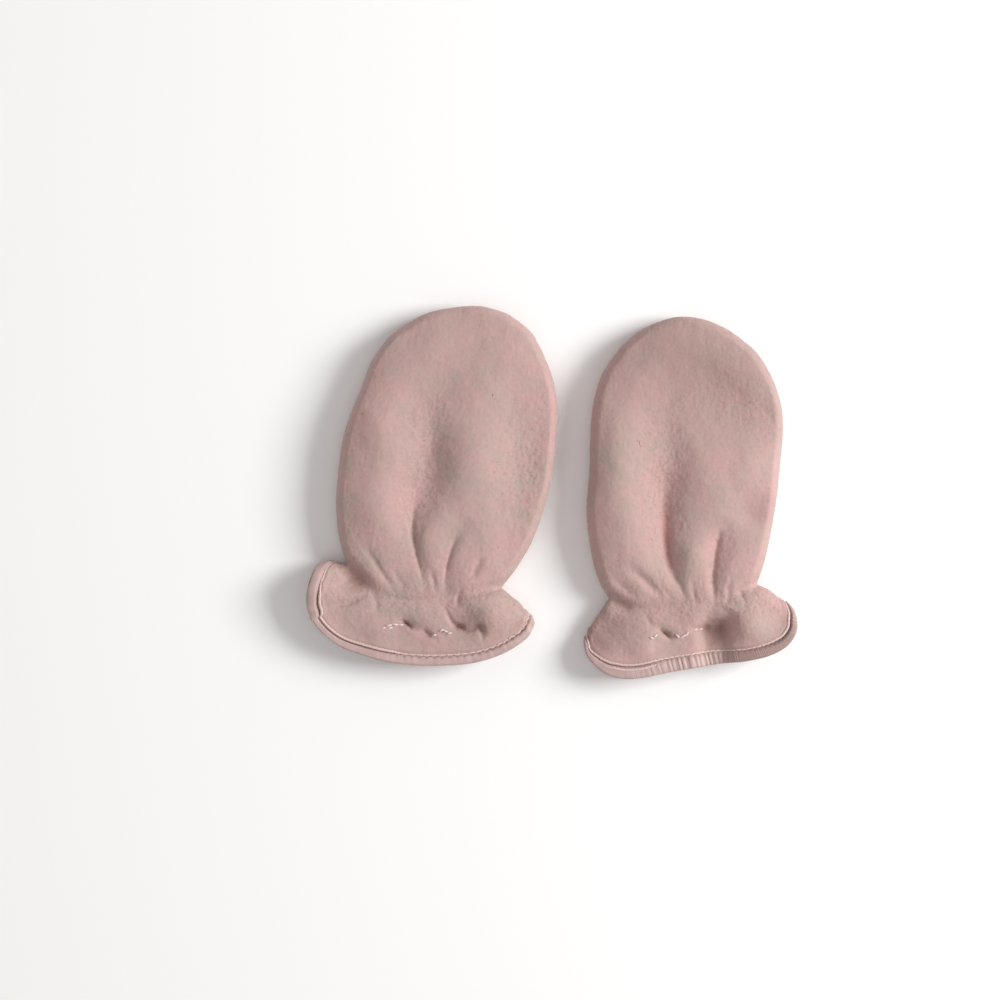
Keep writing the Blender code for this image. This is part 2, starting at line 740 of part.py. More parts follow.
def make_mitten(mitten, materials):
    plan = Plan(mitten)
    back = back_panel(mitten, plan)
    palm = palm_panel(plan)
    elastic = elastic_surfaces(back)
    pieces = {
        "back_panel": sheet_mesh(f"{mitten.name}_back_panel", back[0], back[1]),
        "palm_panel": sheet_mesh(f"{mitten.name}_palm_panel", palm[1], palm[0]),
        "hem_binding": ring_mesh(f"{mitten.name}_hem_binding", band_sections(plan, back, palm)),
        "wrist_elastic": sheet_mesh(f"{mitten.name}_wrist_elastic", *elastic),
    }
    holder = bpy.data.objects.new(f"{mitten.name}_mitten", None)
    bpy.context.collection.objects.link(holder)
    holder.location = (mitten.place[0] * MM, mitten.place[1] * MM, 0)
    holder.rotation_euler = (0, 0, -math.radians(mitten.turn))
    for kind, piece in pieces.items():
        bpy.context.collection.objects.link(piece)
        piece.data.materials.append(materials[kind])
        piece.parent = holder


def main():
    for old in list(bpy.data.objects):
        bpy.data.objects.remove(old, do_unlink=True)
    materials = {
        "back_panel": principled("fleece_back", (0.53, 0.36, 0.33), 0.95),
        "palm_panel": principled("fleece_palm", (0.50, 0.34, 0.31), 0.95),
        "hem_binding": principled("hem_thread", (0.58, 0.36, 0.33), 0.6),
        "wrist_elastic": principled("elastic", (0.75, 0.68, 0.65), 0.7),
    }
    for mitten in (LEFT, RIGHT):
        make_mitten(mitten, materials)


main()
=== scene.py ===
"""The looks of a pair of baby scratch mittens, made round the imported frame.

Each mitten is a bag of two fleece panels with an elastic sewn inside the back one and an
overlocked band round its mouth. The panels repeat the frame's shapes on a fine grid and add the
nap, the small creases and the stitching. Plans and heights are in millimetres in each mitten's
own frame: x across the hand, y from the wrist to the fingertips and z up.
"""

import math
from collections import namedtuple

import bpy
import numpy as np
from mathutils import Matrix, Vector, kdtree, noise


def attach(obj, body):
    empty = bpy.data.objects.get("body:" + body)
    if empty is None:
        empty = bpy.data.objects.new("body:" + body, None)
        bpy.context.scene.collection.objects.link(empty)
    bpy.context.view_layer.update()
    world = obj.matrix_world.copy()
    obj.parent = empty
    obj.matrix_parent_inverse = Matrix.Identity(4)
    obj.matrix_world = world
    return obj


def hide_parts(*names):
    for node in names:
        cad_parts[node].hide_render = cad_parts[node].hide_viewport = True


MM = 0.001

# Cloth, seams, band and elastic, as in the frame
CLOTH = 2.0
HEM_CLOTH = 1.4
SEAM_GAP = 0.3
SEAM_HEIGHT = 5.2
BAND_CLOTH = 0.5
BAND_COVER = 2.8
BAND_REACH = SEAM_GAP + BAND_CLOTH
ELASTIC_WIDTH = 5.0
ELASTIC_THICKNESS = 0.8
ELASTIC_SHARE = (0.26, 0.76)
# The strip along the hem, the share of it at each end that turns to the sides, and how far past it
# the cloth comes to its full thickness
STRIP = 3.6
STRIP_TURN = 0.1
HEM_EASE = 7.0
# The share of each side that its cuff takes, and how fast the hem's and the tip's curves fade
NOTCH_SHARE = 0.25
HEM_POWER = 4
TIP_POWER = 3
# How wide the palm's side rolls up, and how tightly the cloth can bend
PALM_ROLL = 5.6
CLOTH_BEND = 2.3

# What follows is the scene's own. The panels nearly meet at the seam, and the back's top keeps
# above a lowest height.
SEAM_JOIN = 0.04
LOWEST_TOP = 5.2
LOWEST_EASE = 1.2
ELASTIC_RIBS = 6
ELASTIC_RIB_DEPTH = 0.06
# Past its seam the cloth turns up steeply, and goes on rising gently for a while, more so on the
# left of the hand than on its right or over the cuff
GENTLE_LEFT = 0.35
GENTLE_RIGHT = 0.2
GENTLE_CUFF = 0.28
GENTLE_REACH = 14.0
GENTLE_CROSS = 15.0
HAND_FROM = -6.0
HAND_EASE = 14.0
# How hollow a place is: all of a crease's depth and a share of a fold's, and less over the cuff.
# The fleece is painted darker and redder there as shade, and its nap pills there.
HOLLOW_SHARE = 0.4
CUFF_HOLLOW = 0.35
HOLLOW_FROM = -10.0
HOLLOW_EASE = 8.0
# The side seam is pulled in along its line, but not at the band
SEAM_PINCH = 0.75
SEAM_PINCH_REACH = 1.5
SEAM_PINCH_EASE = 4.0
# The stitching presses a groove beside the band and the cloth bulges past it: how far, how far
# past the band and how wide
HEM_GROOVE = (0.22, 0.1, 0.5)
HEM_BULGE = (0.3, 1.9, 1.1)
UNDERSIDE_LIFT = 0.02

# Fine grids: columns and rows are one more than a multiple of the inner surface's coarser step.
# They are closer together along the sides, the tip and the hem.
INNER_STEP = 4
BACK_COLUMNS = 233
BACK_ROWS = 321
PALM_COLUMNS = 137
PALM_ROWS = 201
STRIP_ROWS = 16
EDGE_WEIGHTS = (0.1, 0.16, 0.24, 0.34, 0.44, 0.54, 0.64, 0.72, 0.8, 0.86, 0.92, 0.96)
HEM_WEIGHTS = (0.62,) * 24
CURVE_STEPS = 12
DIRECTION_STEP = 0.002
FOLD_WIDTHS = 3.2
CHUNK = 4096
NORMAL_PASSES = 2
SHARP_ANGLE = 60

# Where a mitten lies and which way it is turned, its hem and the radii of the hem's corners, how
# its edges' rounding differs from the crowns', its other edges, how far from the hem its elastic is
# sewn, what its cloth, painted shade and hem look like, the pitch of its stitches and its seed
Mitten = namedtuple(
    "Mitten",
    "name place turn hem corners edge_share cuff_left body_left tip body_right cuff_right"
    " elastic_from_hem folds mounds creases wear stitches lint hem_looks pitch seed",
)
# How high the back stands this far up the hand, and how wide its sides are rounded
Crown = namedtuple("Crown", "y height rounding")
# A fold or a crease is a path of rows: x, y, how deep it is, and how far it reaches to its left and
# its right. It runs down from the tip or across from the left, so its left is its right hand.
Mound = namedtuple("Mound", "x y height radius")
# A spot of painted shade that darkens and greys the fleece, in hollows, dimples and notches and
# towards the fingertips: how wide and how strong
Wear = namedtuple("Wear", "x y radius share")
# One thread of the elastic's zigzag that shows, from a place to another, and how high it stands
Stitch = namedtuple("Stitch", "x y to_x to_y lift")
# A bit of lint: where it starts, which way it lies and how long it is
Lint = namedtuple("Lint", "x y angle length")
# Along the hem, u 0 to 1: how far the band covers the cloth and reaches beyond it, how it puffs
# up, how high its inner cord and the second one beside it stand, how far the first sways, and how
# strong the stitch bars, the fine ribs, the needle pits and the band's painted shade are
HemLook = namedtuple("HemLook", "u cover reach puff cord second sway bars ribs pits shade")

CROWNS = (
    Crown(-36, 9.8, 4.2), Crown(-26, 10.2, 4.2), Crown(-17, 10.6, 4.2), Crown(-8, 11.4, 4.2),
    Crown(1, 12.6, 4), Crown(12, 14.1, 3.5), Crown(28, 15.2, 3.2), Crown(55, 15.4, 3.1),
    Crown(76, 14.8, 3.1), Crown(90, 13.8, 3.1), Crown(100, 12.8, 3.1),
)

# Soft flutes in the palm, where the wrist is drawn in
PALM_FLUTES = (
    ((-17, 15, 0, 2.4, 2.4), (-15, 6, 1.3, 2, 2.2), (-13, -5, 0, 2, 2)),
    ((-5, 18, 0, 2.6, 2.6), (-5, 6, 1.5, 2.2, 2), (-4, -7, 0, 2, 2)),
    ((6, 14, 0, 2.4, 2.4), (5, 5, 1.2, 1.8, 2.2), (5, -6, 0, 2, 2)),
    ((17, 17, 0, 2.6, 2.6), (15, 7, 1.4, 2.2, 2), (13, -4, 0, 2, 2)),
)

LEFT = Mitten(
    name="left",
    place=(-42.08, -29.99),
    turn=8.5,
    hem=(
        (-40.6, -1), (-42.3, -8.8), (-41.6, -16.5), (-37.4, -22.8), (-29.5, -27.9), (-19.6, -30.2),
        (-9.8, -31.2), (0.3, -30.8), (10, -29.3), (19.6, -26.9), (28.8, -22.4), (36.1, -16),
        (38.2, -10.9),
    ),
    corners=(2.6, 1.2),
    edge_share=0.9,
    cuff_left=((-34.5, 0.3), (-30.1, 0.8)),
    body_left=(
        (-30.1, 0.8), (-33.3, 7.4), (-36.1, 16.9), (-37.6, 31.9), (-37.4, 46.8), (-34.2, 61.4),
        (-32.1, 71.3), (-27.6, 80.4), (-24.3, 84.2),
    ),
    tip=(
        (-24.3, 84.2), (-16.7, 90.3), (-7.7, 94.3), (2.6, 96.5), (12.4, 95.3), (21.4, 90.6),
        (24.9, 87),
    ),
    body_right=(
        (25, 0.4), (30.3, 10.1), (33.5, 19.8), (36.2, 34.4), (36.6, 49.3), (35.2, 64.3),
        (32.4, 73.8), (27.8, 82.7), (24.9, 87),
    ),
    cuff_right=((35.5, -7.1), (32.2, -3.9), (28.6, -1.9), (25, 0.4)),
    elastic_from_hem=10.4,
    folds=(
        # The main valley
        (
            (-4, 74, 0, 10, 8), (-6.6, 64, 1.4, 11, 8), (-8.6, 55, 2.9, 11, 7.8),
            (-7.6, 45, 3.9, 10.6, 7.6), (-6.2, 36, 3.9, 10, 7.6), (-7.8, 28.5, 4.2, 8.6, 7.6),
            (-8.6, 20.5, 3, 7.4, 5.2), (-7.8, 13.4, 2, 6.4, 3), (-5.5, 7, 1.1, 5, 2.4),
            (-2.4, -0.4, 0.5, 3.2, 2), (0.2, -8.5, 0, 2, 2),
        ),
        # The second valley, above the wrist
        (
            (9, 24, 0, 4.4, 2.8), (6.8, 16.3, 0.7, 4, 2.6), (5.3, 10.1, 1, 3.2, 2.2),
            (5, 5, 0.7, 2.6, 2), (5.6, -1.6, 0.4, 2.2, 2), (6.4, -6.8, 0, 2, 2),
        ),
        # The hollow down the right of the hand
        (
            (22, 80, 0, 9, 12), (24.4, 66, 1.6, 10, 10.5), (25.8, 52, 3.1, 10.5, 9.8),
            (26.2, 40, 3.3, 10, 9.5), (26, 28, 2.5, 9.5, 10), (24.6, 16, 1, 7.5, 9.5),
            (22, 6, 0, 6, 8),
        ),
        # A slanting pleat on the left
        (
            (-24.6, 8, 0, 1.4, 1.2), (-20.4, 3.2, 0.6, 1.3, 1), (-16, -1.8, 0.6, 1.3, 1),
            (-11.6, -6, 0, 1.4, 1.2),
        ),
        # The gathers, across the wrist
        (
            (-31.6, 1.6, 3.2, 4.6, 2.2), (-27.8, -1.3, 4.4, 5.4, 2.2), (-24.2, -4, 3.6, 4.8, 2.2),
            (-20.6, -6.8, 1.5, 3.4, 2.4), (-16.6, -8.7, 0.8, 2.6, 2.6), (-9.5, -8.6, 0.5, 2.6, 2.6),
            (1.5, -7.7, 0.5, 2.4, 2.4), (9, -5, 1, 2, 2), (17.5, -1.8, 1.8, 2.2, 2.2),
            (25.6, 0.9, 2.6, 2.2, 2.2),
        ),
        # The hollow along the elastic's stitches
        (
            (-11, -17.2, 0, 1.2, 2.4), (-7.4, -16.6, 0.6, 1.1, 2.2), (-4.6, -17.4, 0.9, 1, 2.2),
            (-1.6, -19, 0.7, 1, 2.4), (2, -19.9, 0.7, 1.2, 2.6), (5.6, -19.4, 0, 1.5, 2.4),
        ),
        # The curl of the cuff on the right
        (
            (5.4, -6.4, 0, 2.6, 2.6), (7.2, -10.4, 0.2, 2.4, 3.2), (9.6, -13.4, 0.5, 2.2, 3.2),
            (12.6, -15.2, 0.8, 2, 3.2), (16, -15.6, 0.8, 2, 3.2), (19.6, -15.6, 0.8, 2, 3),
            (22.4, -17, 0, 1.8, 2),
        ),
    ),
    mounds=(
        Mound(-20.5, 46, 1.7, 9.5), Mound(-19, 21, 1.3, 10), Mound(8, 45, 2.1, 11),
        Mound(-36.5, -8.5, 1.5, 6), Mound(22, -7, 3.3, 7.2), Mound(13, -3, 0.7, 5),
        Mound(-14, -23, 0.9, 5),
    ),
    creases=(
        (
            (-9, 28, 0, 2.2, 1.8), (-9.4, 22.5, 0.9, 2.2, 1.5), (-9, 17, 1.3, 1.5, 1.2),
            (-7.6, 12, 1.2, 1.1, 1), (-5.4, 5.5, 0.7, 0.6, 0.7), (-3.4, 0.5, 0.3, 0.6, 0.7),
            (-1.6, -4, 0, 0.8, 0.9),
        ),
        (
            (7, 18, 0, 0.8, 1.3), (5.7, 11.5, 0.55, 0.6, 0.9), (4.9, 5.5, 0.55, 0.6, 0.8),
            (5, 0, 0.2, 0.6, 0.8), (5.8, -5, 0, 0.8, 1.2),
        ),
        ((-37, -16, 0.4, 1.2, 1.4), (-27.5, -12.9, 1.1, 1.2, 1.4), (-20.7, -8.6, 0, 1, 1.4)),
        (
            (-15, -8.6, 0, 1, 1.2), (-8, -9, 0.35, 0.9, 1.2), (-1, -7.9, 0.35, 0.9, 1.2),
            (5.1, -6, 0, 1, 1.2),
        ),
        ((16.6, 11, 0, 1.5, 1.7), (15.1, 5.8, 0.7, 1.3, 1.6), (13.9, 0.8, 0, 1.3, 1.5)),
        ((-1.2, 4, 0, 1, 1), (1.2, -1, 0.6, 0.9, 0.9), (3, -6, 0, 1, 1)),
        ((-14.5, 2, 0, 1, 1), (-11, -2, 0.25, 0.9, 0.9), (-7, -5.6, 0, 1, 1)),
        ((11.2, -1, 0, 0.9, 0.9), (10.4, -5.6, 0.5, 0.9, 0.9), (10.8, -9.6, 0, 1, 1)),
        ((-20, -7.4, 0, 1, 1), (-17.6, -11.4, 0.5, 1, 1), (-16.8, -15.4, 0, 1, 1)),
        (
            (5.8, -8.3, 0, 0.65, 0.75), (8.1, -12.2, 0.5, 0.65, 0.75), (10.6, -15, 1.6, 0.6, 0.9),
            (12.6, -15.4, 1.9, 0.6, 0.9), (14.4, -16.3, 1.2, 0.6, 0.9),
            (16.4, -15.8, 0.9, 0.6, 0.9), (18.4, -14.5, 1.3, 0.8, 1.1), (20, -15, 1.5, 0.9, 1.1),
            (20.8, -17.2, 0.5, 0.8, 0.9), (21.4, -19.6, 0, 0.8, 0.9),
        ),
        (
            (-8.8, -16.3, 0, 0.55, 0.7), (-7, -16.5, 1.4, 0.55, 0.7), (-5.2, -17.5, 1.8, 0.55, 0.7),
            (-3.8, -19, 0, 0.55, 0.7),
        ),
        (
            (-1, -18.2, 0, 0.7, 1), (0.8, -18.9, 0.8, 0.6, 0.9), (2.4, -19.7, 0.8, 0.6, 0.9),
            (4.2, -19.8, 0, 0.6, 0.9),
        ),
    ),
    # Spots of painted shade on the fleece
    wear=(
        Wear(2, 86, 14, 0.14), Wear(15, -14.8, 4.5, 0.45), Wear(12.4, -15.6, 1.5, 0.35),
        Wear(19.4, -14.7, 1.4, 0.5), Wear(-3.5, -17, 3.5, 0.3), Wear(-6.4, -17.2, 1.4, 0.35),
        Wear(1.4, -19.3, 1.5, 0.35), Wear(-25.6, -5.4, 3.2, 0.6), Wear(-4, -24.5, 9, 0.1),
    ),
    stitches=(
        Stitch(-14.4, -20.1, -13, -19.1, 0.4), Stitch(-13.2, -18.9, -10.9, -18, 1),
        Stitch(-11.2, -17.9, -8.8, -17.7, 1), Stitch(-9, -17.6, -6.8, -17.6, 0.35),
        Stitch(-12.4, -19.6, -10.4, -18.9, 0.35), Stitch(3.2, -19.9, 4.8, -19.2, 0.8),
        Stitch(5.7, -17.9, 7.1, -17, 1), Stitch(6.9, -17.3, 8.6, -17.7, 1),
        Stitch(8.5, -18.3, 10, -17.7, 1), Stitch(-38.5, -19.2, -40.4, -20.4, 0.3),
    ),
    lint=(
        Lint(-36.2, 44.5, 1.2, 1.3), Lint(-32.3, 52.9, 0.3, 0.8), Lint(-28, 38, 2, 0.7),
        Lint(16.9, 43.2, 0.8, 0.7), Lint(22, 14, 2.4, 0.8), Lint(-24, 12, 0.4, 0.9),
        Lint(12, 66, 1.6, 0.7),
    ),
    hem_looks=(
        HemLook(0, 3.4, -0.8, 0.2, 0.2, 0, 0, 0, 0.4, 0, 0.15),
        HemLook(0.06, 3.4, -0.7, 0.3, 0.3, 0, 0, 0, 0.3, 0, 0.15),
        HemLook(0.1, 3.5, -0.7, 0.3, 1.3, 0, 0, 0, 0.3, 0, 0.15),
        HemLook(0.175, 3.2, -0.5, 0.3, 1.4, 0, 0, 0, 0.4, 0, 0.15),
        HemLook(0.19, 2.9, 0.1, 0.2, 1.2, 0, 0, 0, 0.4, 0, 0.15),
        HemLook(0.197, 1.9, -0.7, 0, 1, 0, 0, 0, 0.4, 0, 0.15),
        HemLook(0.25, 1.8, -0.5, 0, 1, 0, 0, 0.05, 0.4, 0, 0.15),
        HemLook(0.33, 1.9, -0.1, 0, 1, 0, 0, 0.05, 0.4, 0, 0),
        HemLook(0.42, 2.2, 0, 0, 1, 0, 0, 0.1, 0.4, 0, 0),
        HemLook(0.49, 2.4, 0, 0, 0.9, 0, 0.05, 0.15, 0.4, 0.3, 0),
        HemLook(0.53, 2.5, 0, 0, 0.3, 0, 0.03, 0.15, 0.4, 1, 0),
        HemLook(0.76, 2.5, 0, 0, 0.25, 0, 0.05, 0.15, 0.4, 1, 0),
        HemLook(0.81, 2.4, 0, 0, 0.3, 0, 0.1, 0.2, 0.4, 0.7, 0),
        HemLook(0.87, 2.4, 0, 0.1, 0.35, 0, 0.2, 0.2, 0.4, 0.5, 0),
        HemLook(1, 2.4, 0, 0.2, 0.35, 0, 0.2, 0.2, 0.4, 0.3, 0),
    ),
    pitch=2.7,
    seed=3,
)

RIGHT = Mitten(
    name="right",
    place=(46.12, -34.19),
    turn=1.5,
    hem=(
        (-33.9, -19.6), (-32.9, -24.3), (-27.4, -29.4), (-21.2, -31.4), (-14, -31.1), (-5, -29),
        (4, -27.2), (13.5, -25.4), (23, -24.1), (31.2, -21.8), (36.9, -18.3), (39.9, -13.2),
        (39.7, -8.8), (38.3, -5.6),
    ),
    corners=(1.2, 1.4),
    edge_share=1.02,
    cuff_left=((-32.3, -13.8), (-29.8, -9.5), (-25.9, -3.6)),
    body_left=(
        (-25.9, -3.6), (-29.6, 2.4), (-32.5, 11.8), (-34.5, 26.8), (-34, 41.5), (-33.8, 56.5),
        (-32.7, 66.7), (-29.8, 75.9), (-24.2, 84.4),
    ),
    tip=((-24.2, 84.4), (-16.7, 91), (-6.3, 95.2), (3.8, 95), (13.2, 91.6), (21.6, 85.7)),
    body_right=(
        (26, 2.9), (28, 9.5), (30, 19), (31.4, 29.2), (32.7, 43.9), (33.5, 53.7), (33, 63.9),
        (30.1, 73.3), (24.9, 82), (21.6, 85.7),
    ),
    cuff_right=((33.9, -2.2), (30.3, 0.8), (26, 2.9)),
    elastic_from_hem=12,
    folds=(
        # The main valley
        (
            (-5, 78, 0, 10, 9), (-7, 66, 1.2, 11, 10), (-7.8, 55, 2.6, 11, 9),
            (-8.1, 45, 3.7, 10.6, 8.6), (-7.8, 36, 4.4, 10.2, 8.2), (-7, 27.8, 4.4, 9.6, 7.6),
            (-6.2, 19.1, 3.8, 8.4, 6.4), (-4.8, 11.8, 3.1, 6.6, 4.6), (-2.6, 5.2, 1.6, 4.8, 3),
            (-0.4, -0.7, 0.6, 3.2, 2), (2.2, -6.6, 0, 2, 2),
        ),
        # The second valley, above the wrist
        (
            (14.4, 26, 0, 4.4, 4.6), (12.6, 20.3, 1.1, 4, 4.6), (11.4, 15.4, 1.8, 3.6, 4.6),
            (11, 10.8, 1.9, 3.2, 4.2), (10.7, 4.8, 1.3, 2.8, 3.2), (10.9, -1.1, 0.7, 2.4, 2.2),
            (10.6, -6.3, 0, 2.2, 2.4),
        ),
        # The long hollow below the tip
        (
            (-8, 82, 0, 9, 8), (4, 75.5, 1.5, 11, 10), (14, 68.5, 2.5, 12, 10),
            (23, 62.5, 2.8, 11, 9), (30, 58, 1.7, 9, 8), (35, 54, 0.5, 8, 7),
        ),
        # The hollow low on the right of the hand
        ((18, 40, 0, 8, 8), (23.6, 29, 1.5, 7, 8), (25.6, 20, 0, 6, 7)),
        # Two slanting pleats on the left
        (
            (-21.6, 9, 0, 1.8, 2), (-15.2, 4.2, 1, 1.5, 1.8), (-10.9, 0.4, 0.9, 1.4, 1.7),
            (-6.2, -3.6, 0, 1.6, 1.8),
        ),
        ((-25.6, 3.2, 0, 1.8, 2), (-19.9, -0.7, 0.8, 1.6, 2), (-14.4, -4.2, 0, 1.8, 2)),
        # The gathers, across the wrist
        (
            (-27.4, -2.6, 3.2, 2.4, 2.4), (-24, -4.5, 3.8, 2.4, 2.4), (-20.5, -5.8, 3, 2.4, 2.2),
            (-16.6, -6.8, 1.5, 2.4, 2.2), (-8, -6.6, 0.8, 2.4, 2.4), (4, -4.6, 0.7, 2.4, 2.4),
            (15, -2.4, 0.9, 2.4, 2.4), (21, 0.6, 1.5, 2.4, 2.4), (26.6, 3.3, 2.6, 2.4, 2.4),
        ),
        # The cuff's two valleys
        (
            (11.5, -4, 0, 3, 3), (9.4, -9, 1.6, 3, 3.2), (8.6, -13.5, 3, 2.6, 3.4),
            (8.4, -18, 2.9, 2.6, 3.6), (8.2, -23, 2, 3, 3.8), (8.4, -27, 1.2, 3, 4),
        ),
        (
            (17, -6, 0, 3, 3), (15.2, -10, 2, 3.4, 3), (14, -14, 3.3, 3.6, 3.2),
            (13.8, -18.5, 2.8, 3.8, 3.4), (13.8, -23, 1.6, 4, 3.6), (14, -27, 0.8, 4, 4),
        ),
        # The ledge above them
        (
            (7, -12.6, 0, 4, 1.4), (10.5, -11.7, 1.1, 5, 1.3), (14, -11.2, 1.4, 5.5, 1.4),
            (17.2, -10.8, 1, 5, 1.6), (19.8, -10.2, 0, 4, 1.6),
        ),
        # The hollows along the elastic's stitches
        (
            (-11.4, -13.4, 0, 1.6, 1.8), (-8.3, -14, 0.9, 1.4, 1.8), (-5.4, -15.4, 1.1, 1.4, 1.8),
            (-2.6, -17.4, 0, 1.6, 1.8),
        ),
        (
            (1.8, -12.8, 0, 1.8, 1.8), (4.6, -13.4, 0.5, 1.4, 1.4), (7.4, -13.2, 0.6, 1.4, 1.4),
            (10, -12.6, 0, 1.4, 1.4),
        ),
        # The dip between the stitches and the hem
        ((-9.6, -15, 0, 2, 5), (-9, -19.4, 0.8, 2, 6), (-8.6, -25, 0, 2, 6)),
    ),
    mounds=(
        Mound(-22, 42, 1.4, 12), Mound(-19, 22, 2, 12), Mound(14, 42, 1, 13),
        Mound(24, -12, 3.2, 7), Mound(-14, -20, 1.2, 7), Mound(-32, -15, -2.6, 9),
        Mound(3, 12, 1, 5),
    ),
    creases=(
        (
            (-8.2, 38, 0, 2.2, 2.4), (-8, 32, 0.8, 2.3, 2.4), (-7.4, 26, 1.7, 2.4, 2.4),
            (-6.8, 19, 2.2, 2.3, 2.1), (-5.5, 11.5, 2, 2, 1.8), (-3.5, 5, 1.2, 1.5, 1.4),
            (-0.2, -0.7, 0.3, 0.8, 0.8), (1.6, -5, 0, 0.7, 0.8),
        ),
        (
            (12.8, 22, 0, 1.6, 1.6), (11.3, 17, 1, 1.7, 1.2), (10.6, 10.8, 1.3, 1.6, 1.1),
            (10.2, 5, 1.2, 1.4, 1), (10.4, 0, 0.7, 1, 0.9), (10.7, -4, 0, 0.7, 0.8),
        ),
        ((19.5, 1.5, 0, 1, 1), (20.4, -1.6, 0.5, 0.9, 0.9), (22.6, -5.2, 0, 1, 1)),
        ((2.8, 4, 0, 1, 1), (3.6, -1.4, 0.5, 0.9, 0.9), (5, -6, 0, 1, 1)),
        ((-9.6, 4, 0, 1, 1), (-6.6, -0.4, 0.3, 0.9, 0.9), (-3, -5, 0, 1, 1)),
        ((16.6, 6, 0, 1.1, 1.1), (15.6, 0.6, 0.5, 1, 1), (15.6, -4, 0, 1, 1)),
        (
            (-8.8, -14, 0, 0.65, 0.8), (-7.2, -14.7, 1.5, 0.65, 0.8), (-5.6, -15.5, 1.8, 0.65, 0.8),
            (-3.8, -17, 0, 0.65, 0.8),
        ),
        (
            (2.1, -14.3, 0, 0.55, 0.65), (4.9, -13.5, 0.5, 0.55, 0.65),
            (7.7, -13.1, 0.7, 0.55, 0.65), (10.5, -12.3, 0, 0.55, 0.65),
        ),
        ((-14, -8, 0, 1, 1), (-11.6, -11.4, 0.5, 1, 1), (-11.4, -15, 0, 1, 1)),
    ),
    # Spots of painted shade on the fleece
    wear=(
        Wear(-6, 84, 18, 0.4), Wear(12, 72, 16, 0.35), Wear(9, -13.2, 2.3, 0.75),
        Wear(13.2, -12.8, 2.5, 0.75), Wear(11.4, -16.4, 3.6, 0.6), Wear(12.4, -20.5, 4, 0.3),
        Wear(-33.5, -19, 7, 0.85), Wear(25.5, 27.5, 5, 0.3), Wear(25, 57, 9, 0.16),
        Wear(-16, -9, 6, 0.32), Wear(2, -7, 7, 0.22), Wear(25, -19, 6, 0.12),
    ),
    stitches=(
        Stitch(-11.5, -16.6, -10.1, -17.1, 0.9), Stitch(-10.1, -16.7, -8.7, -15.6, 0.8),
        Stitch(-2.4, -15.3, -1, -16.7, 1), Stitch(-1, -16.7, 1.8, -15.2, 1),
        Stitch(1.1, -15.9, 2.1, -14.6, 0.9), Stitch(3.6, -13.9, 5.6, -13.4, 0.12),
        Stitch(5.6, -13.8, 7.4, -13.2, 0.1),
    ),
    lint=(
        Lint(-16, 49.6, 1.9, 2.2), Lint(-17.6, 51.4, 1.4, 0.7), Lint(-23.7, 9.5, 0.5, 0.8),
        Lint(-11.3, 17.2, 2.2, 0.9), Lint(-0.5, -8.1, 0.9, 1), Lint(-14.9, -6.7, 1.2, 0.8),
        Lint(31, -5.5, 0.2, 1), Lint(9, 38, 1, 0.6),
    ),
    hem_looks=(
        HemLook(0, 0.8, 0, 0, 0.4, 0, 0, 0, 0.7, 0, 0.4),
        HemLook(0.06, 1.3, 0, 0, 0.6, 0, 0, 0, 0.7, 0.2, 0),
        HemLook(0.12, 2.4, 0, 0, 0.9, 0.4, 0, 0, 0.8, 0.3, 0.15),
        HemLook(0.17, 3.2, 0, 0, 0.9, 0.9, 0, 0.05, 0.8, 0.3, 0.15),
        HemLook(0.3, 3.5, 0, 0, 0.9, 0.9, 0.05, 0.15, 0.6, 0.4, 0),
        HemLook(0.36, 3.8, 0, 0, 0.5, 0.3, 0.1, 0.59, 0.4, 0.4, 0),
        HemLook(0.44, 3.9, 0, 0, 0.2, 0, 0.1, 0.85, 0.4, 0.3, 0),
        HemLook(0.56, 3.8, 0, 0, 0.2, 0, 0.1, 0.77, 0.5, 0.3, 0.3),
        HemLook(0.62, 3.4, 0, 0, 0, 0, 0.1, 0.3, 1.3, 0.4, 0.75),
        HemLook(0.68, 3.2, 0, 0, 0, 0, 0, 0, 1.8, 0.6, 1),
        HemLook(0.76, 3, 0, 0, 0.5, 0, 0, 0, 1.8, 1, 1),
        HemLook(0.82, 2.7, 0, 0, 1, 0, 0, 0, 1.8, 1, 0.95),
        HemLook(0.87, 2.2, 0, 0, 1.1, 0, 0, 0, 1.8, 0.9, 0.85),
        HemLook(0.93, 1.7, 0, 0.1, 1.1, 0, 0, 0, 1.6, 0.6, 0.45),
        HemLook(1, 1.5, 0, 0.2, 0.8, 0, 0, 0, 1, 0, 0.45),
    ),
    pitch=1.9,
    seed=8,
)


# Plane curves and plans

def smooth_curve(points):
    """Points along a Catmull-Rom curve through the rows of a table, whatever their columns."""
    points = np.array([tuple(point) for point in points], float)
    before = 2 * points[0] - points[1]
    after = 2 * points[-1] - points[-2]
    knots = np.vstack([before, points, after])
    share = np.linspace(0, 1, CURVE_STEPS, endpoint=False)[:, None]
    runs = []
    for a, b, c, d in zip(knots, knots[1:], knots[2:], knots[3:]):
        straight = 2 * b + (c - a) * share
        bend = (2 * a - 5 * b + 4 * c - d) * share**2 + (3 * b - a - 3 * c + d) * share**3
        runs.append((straight + bend) / 2)
    return np.vstack([*runs, points[-1:]])


def lengths_along(points):
    """How far along a line, or along each column of a grid, every point lies."""
    steps = np.linalg.norm(np.diff(points, axis=0), axis=-1)
    return np.concatenate([np.zeros_like(steps[:1]), np.cumsum(steps, axis=0)])


def along(curve, shares):
    """Places at the given shares of a curve's length."""
    length = lengths_along(curve)
    at = np.clip(shares, 0, 1) * length[-1]
    return np.stack([np.interp(at, length, column) for column in curve.T], axis=-1)


def unit(vectors):
    return vectors / np.linalg.norm(vectors, axis=-1, keepdims=True)


def ease(share):
    """0 to 1, level at both ends."""
    share = np.clip(share, 0, 1)
    return share * share * (3 - 2 * share)


def bell(distance, width):
    return np.exp(-((distance / width) ** 2))


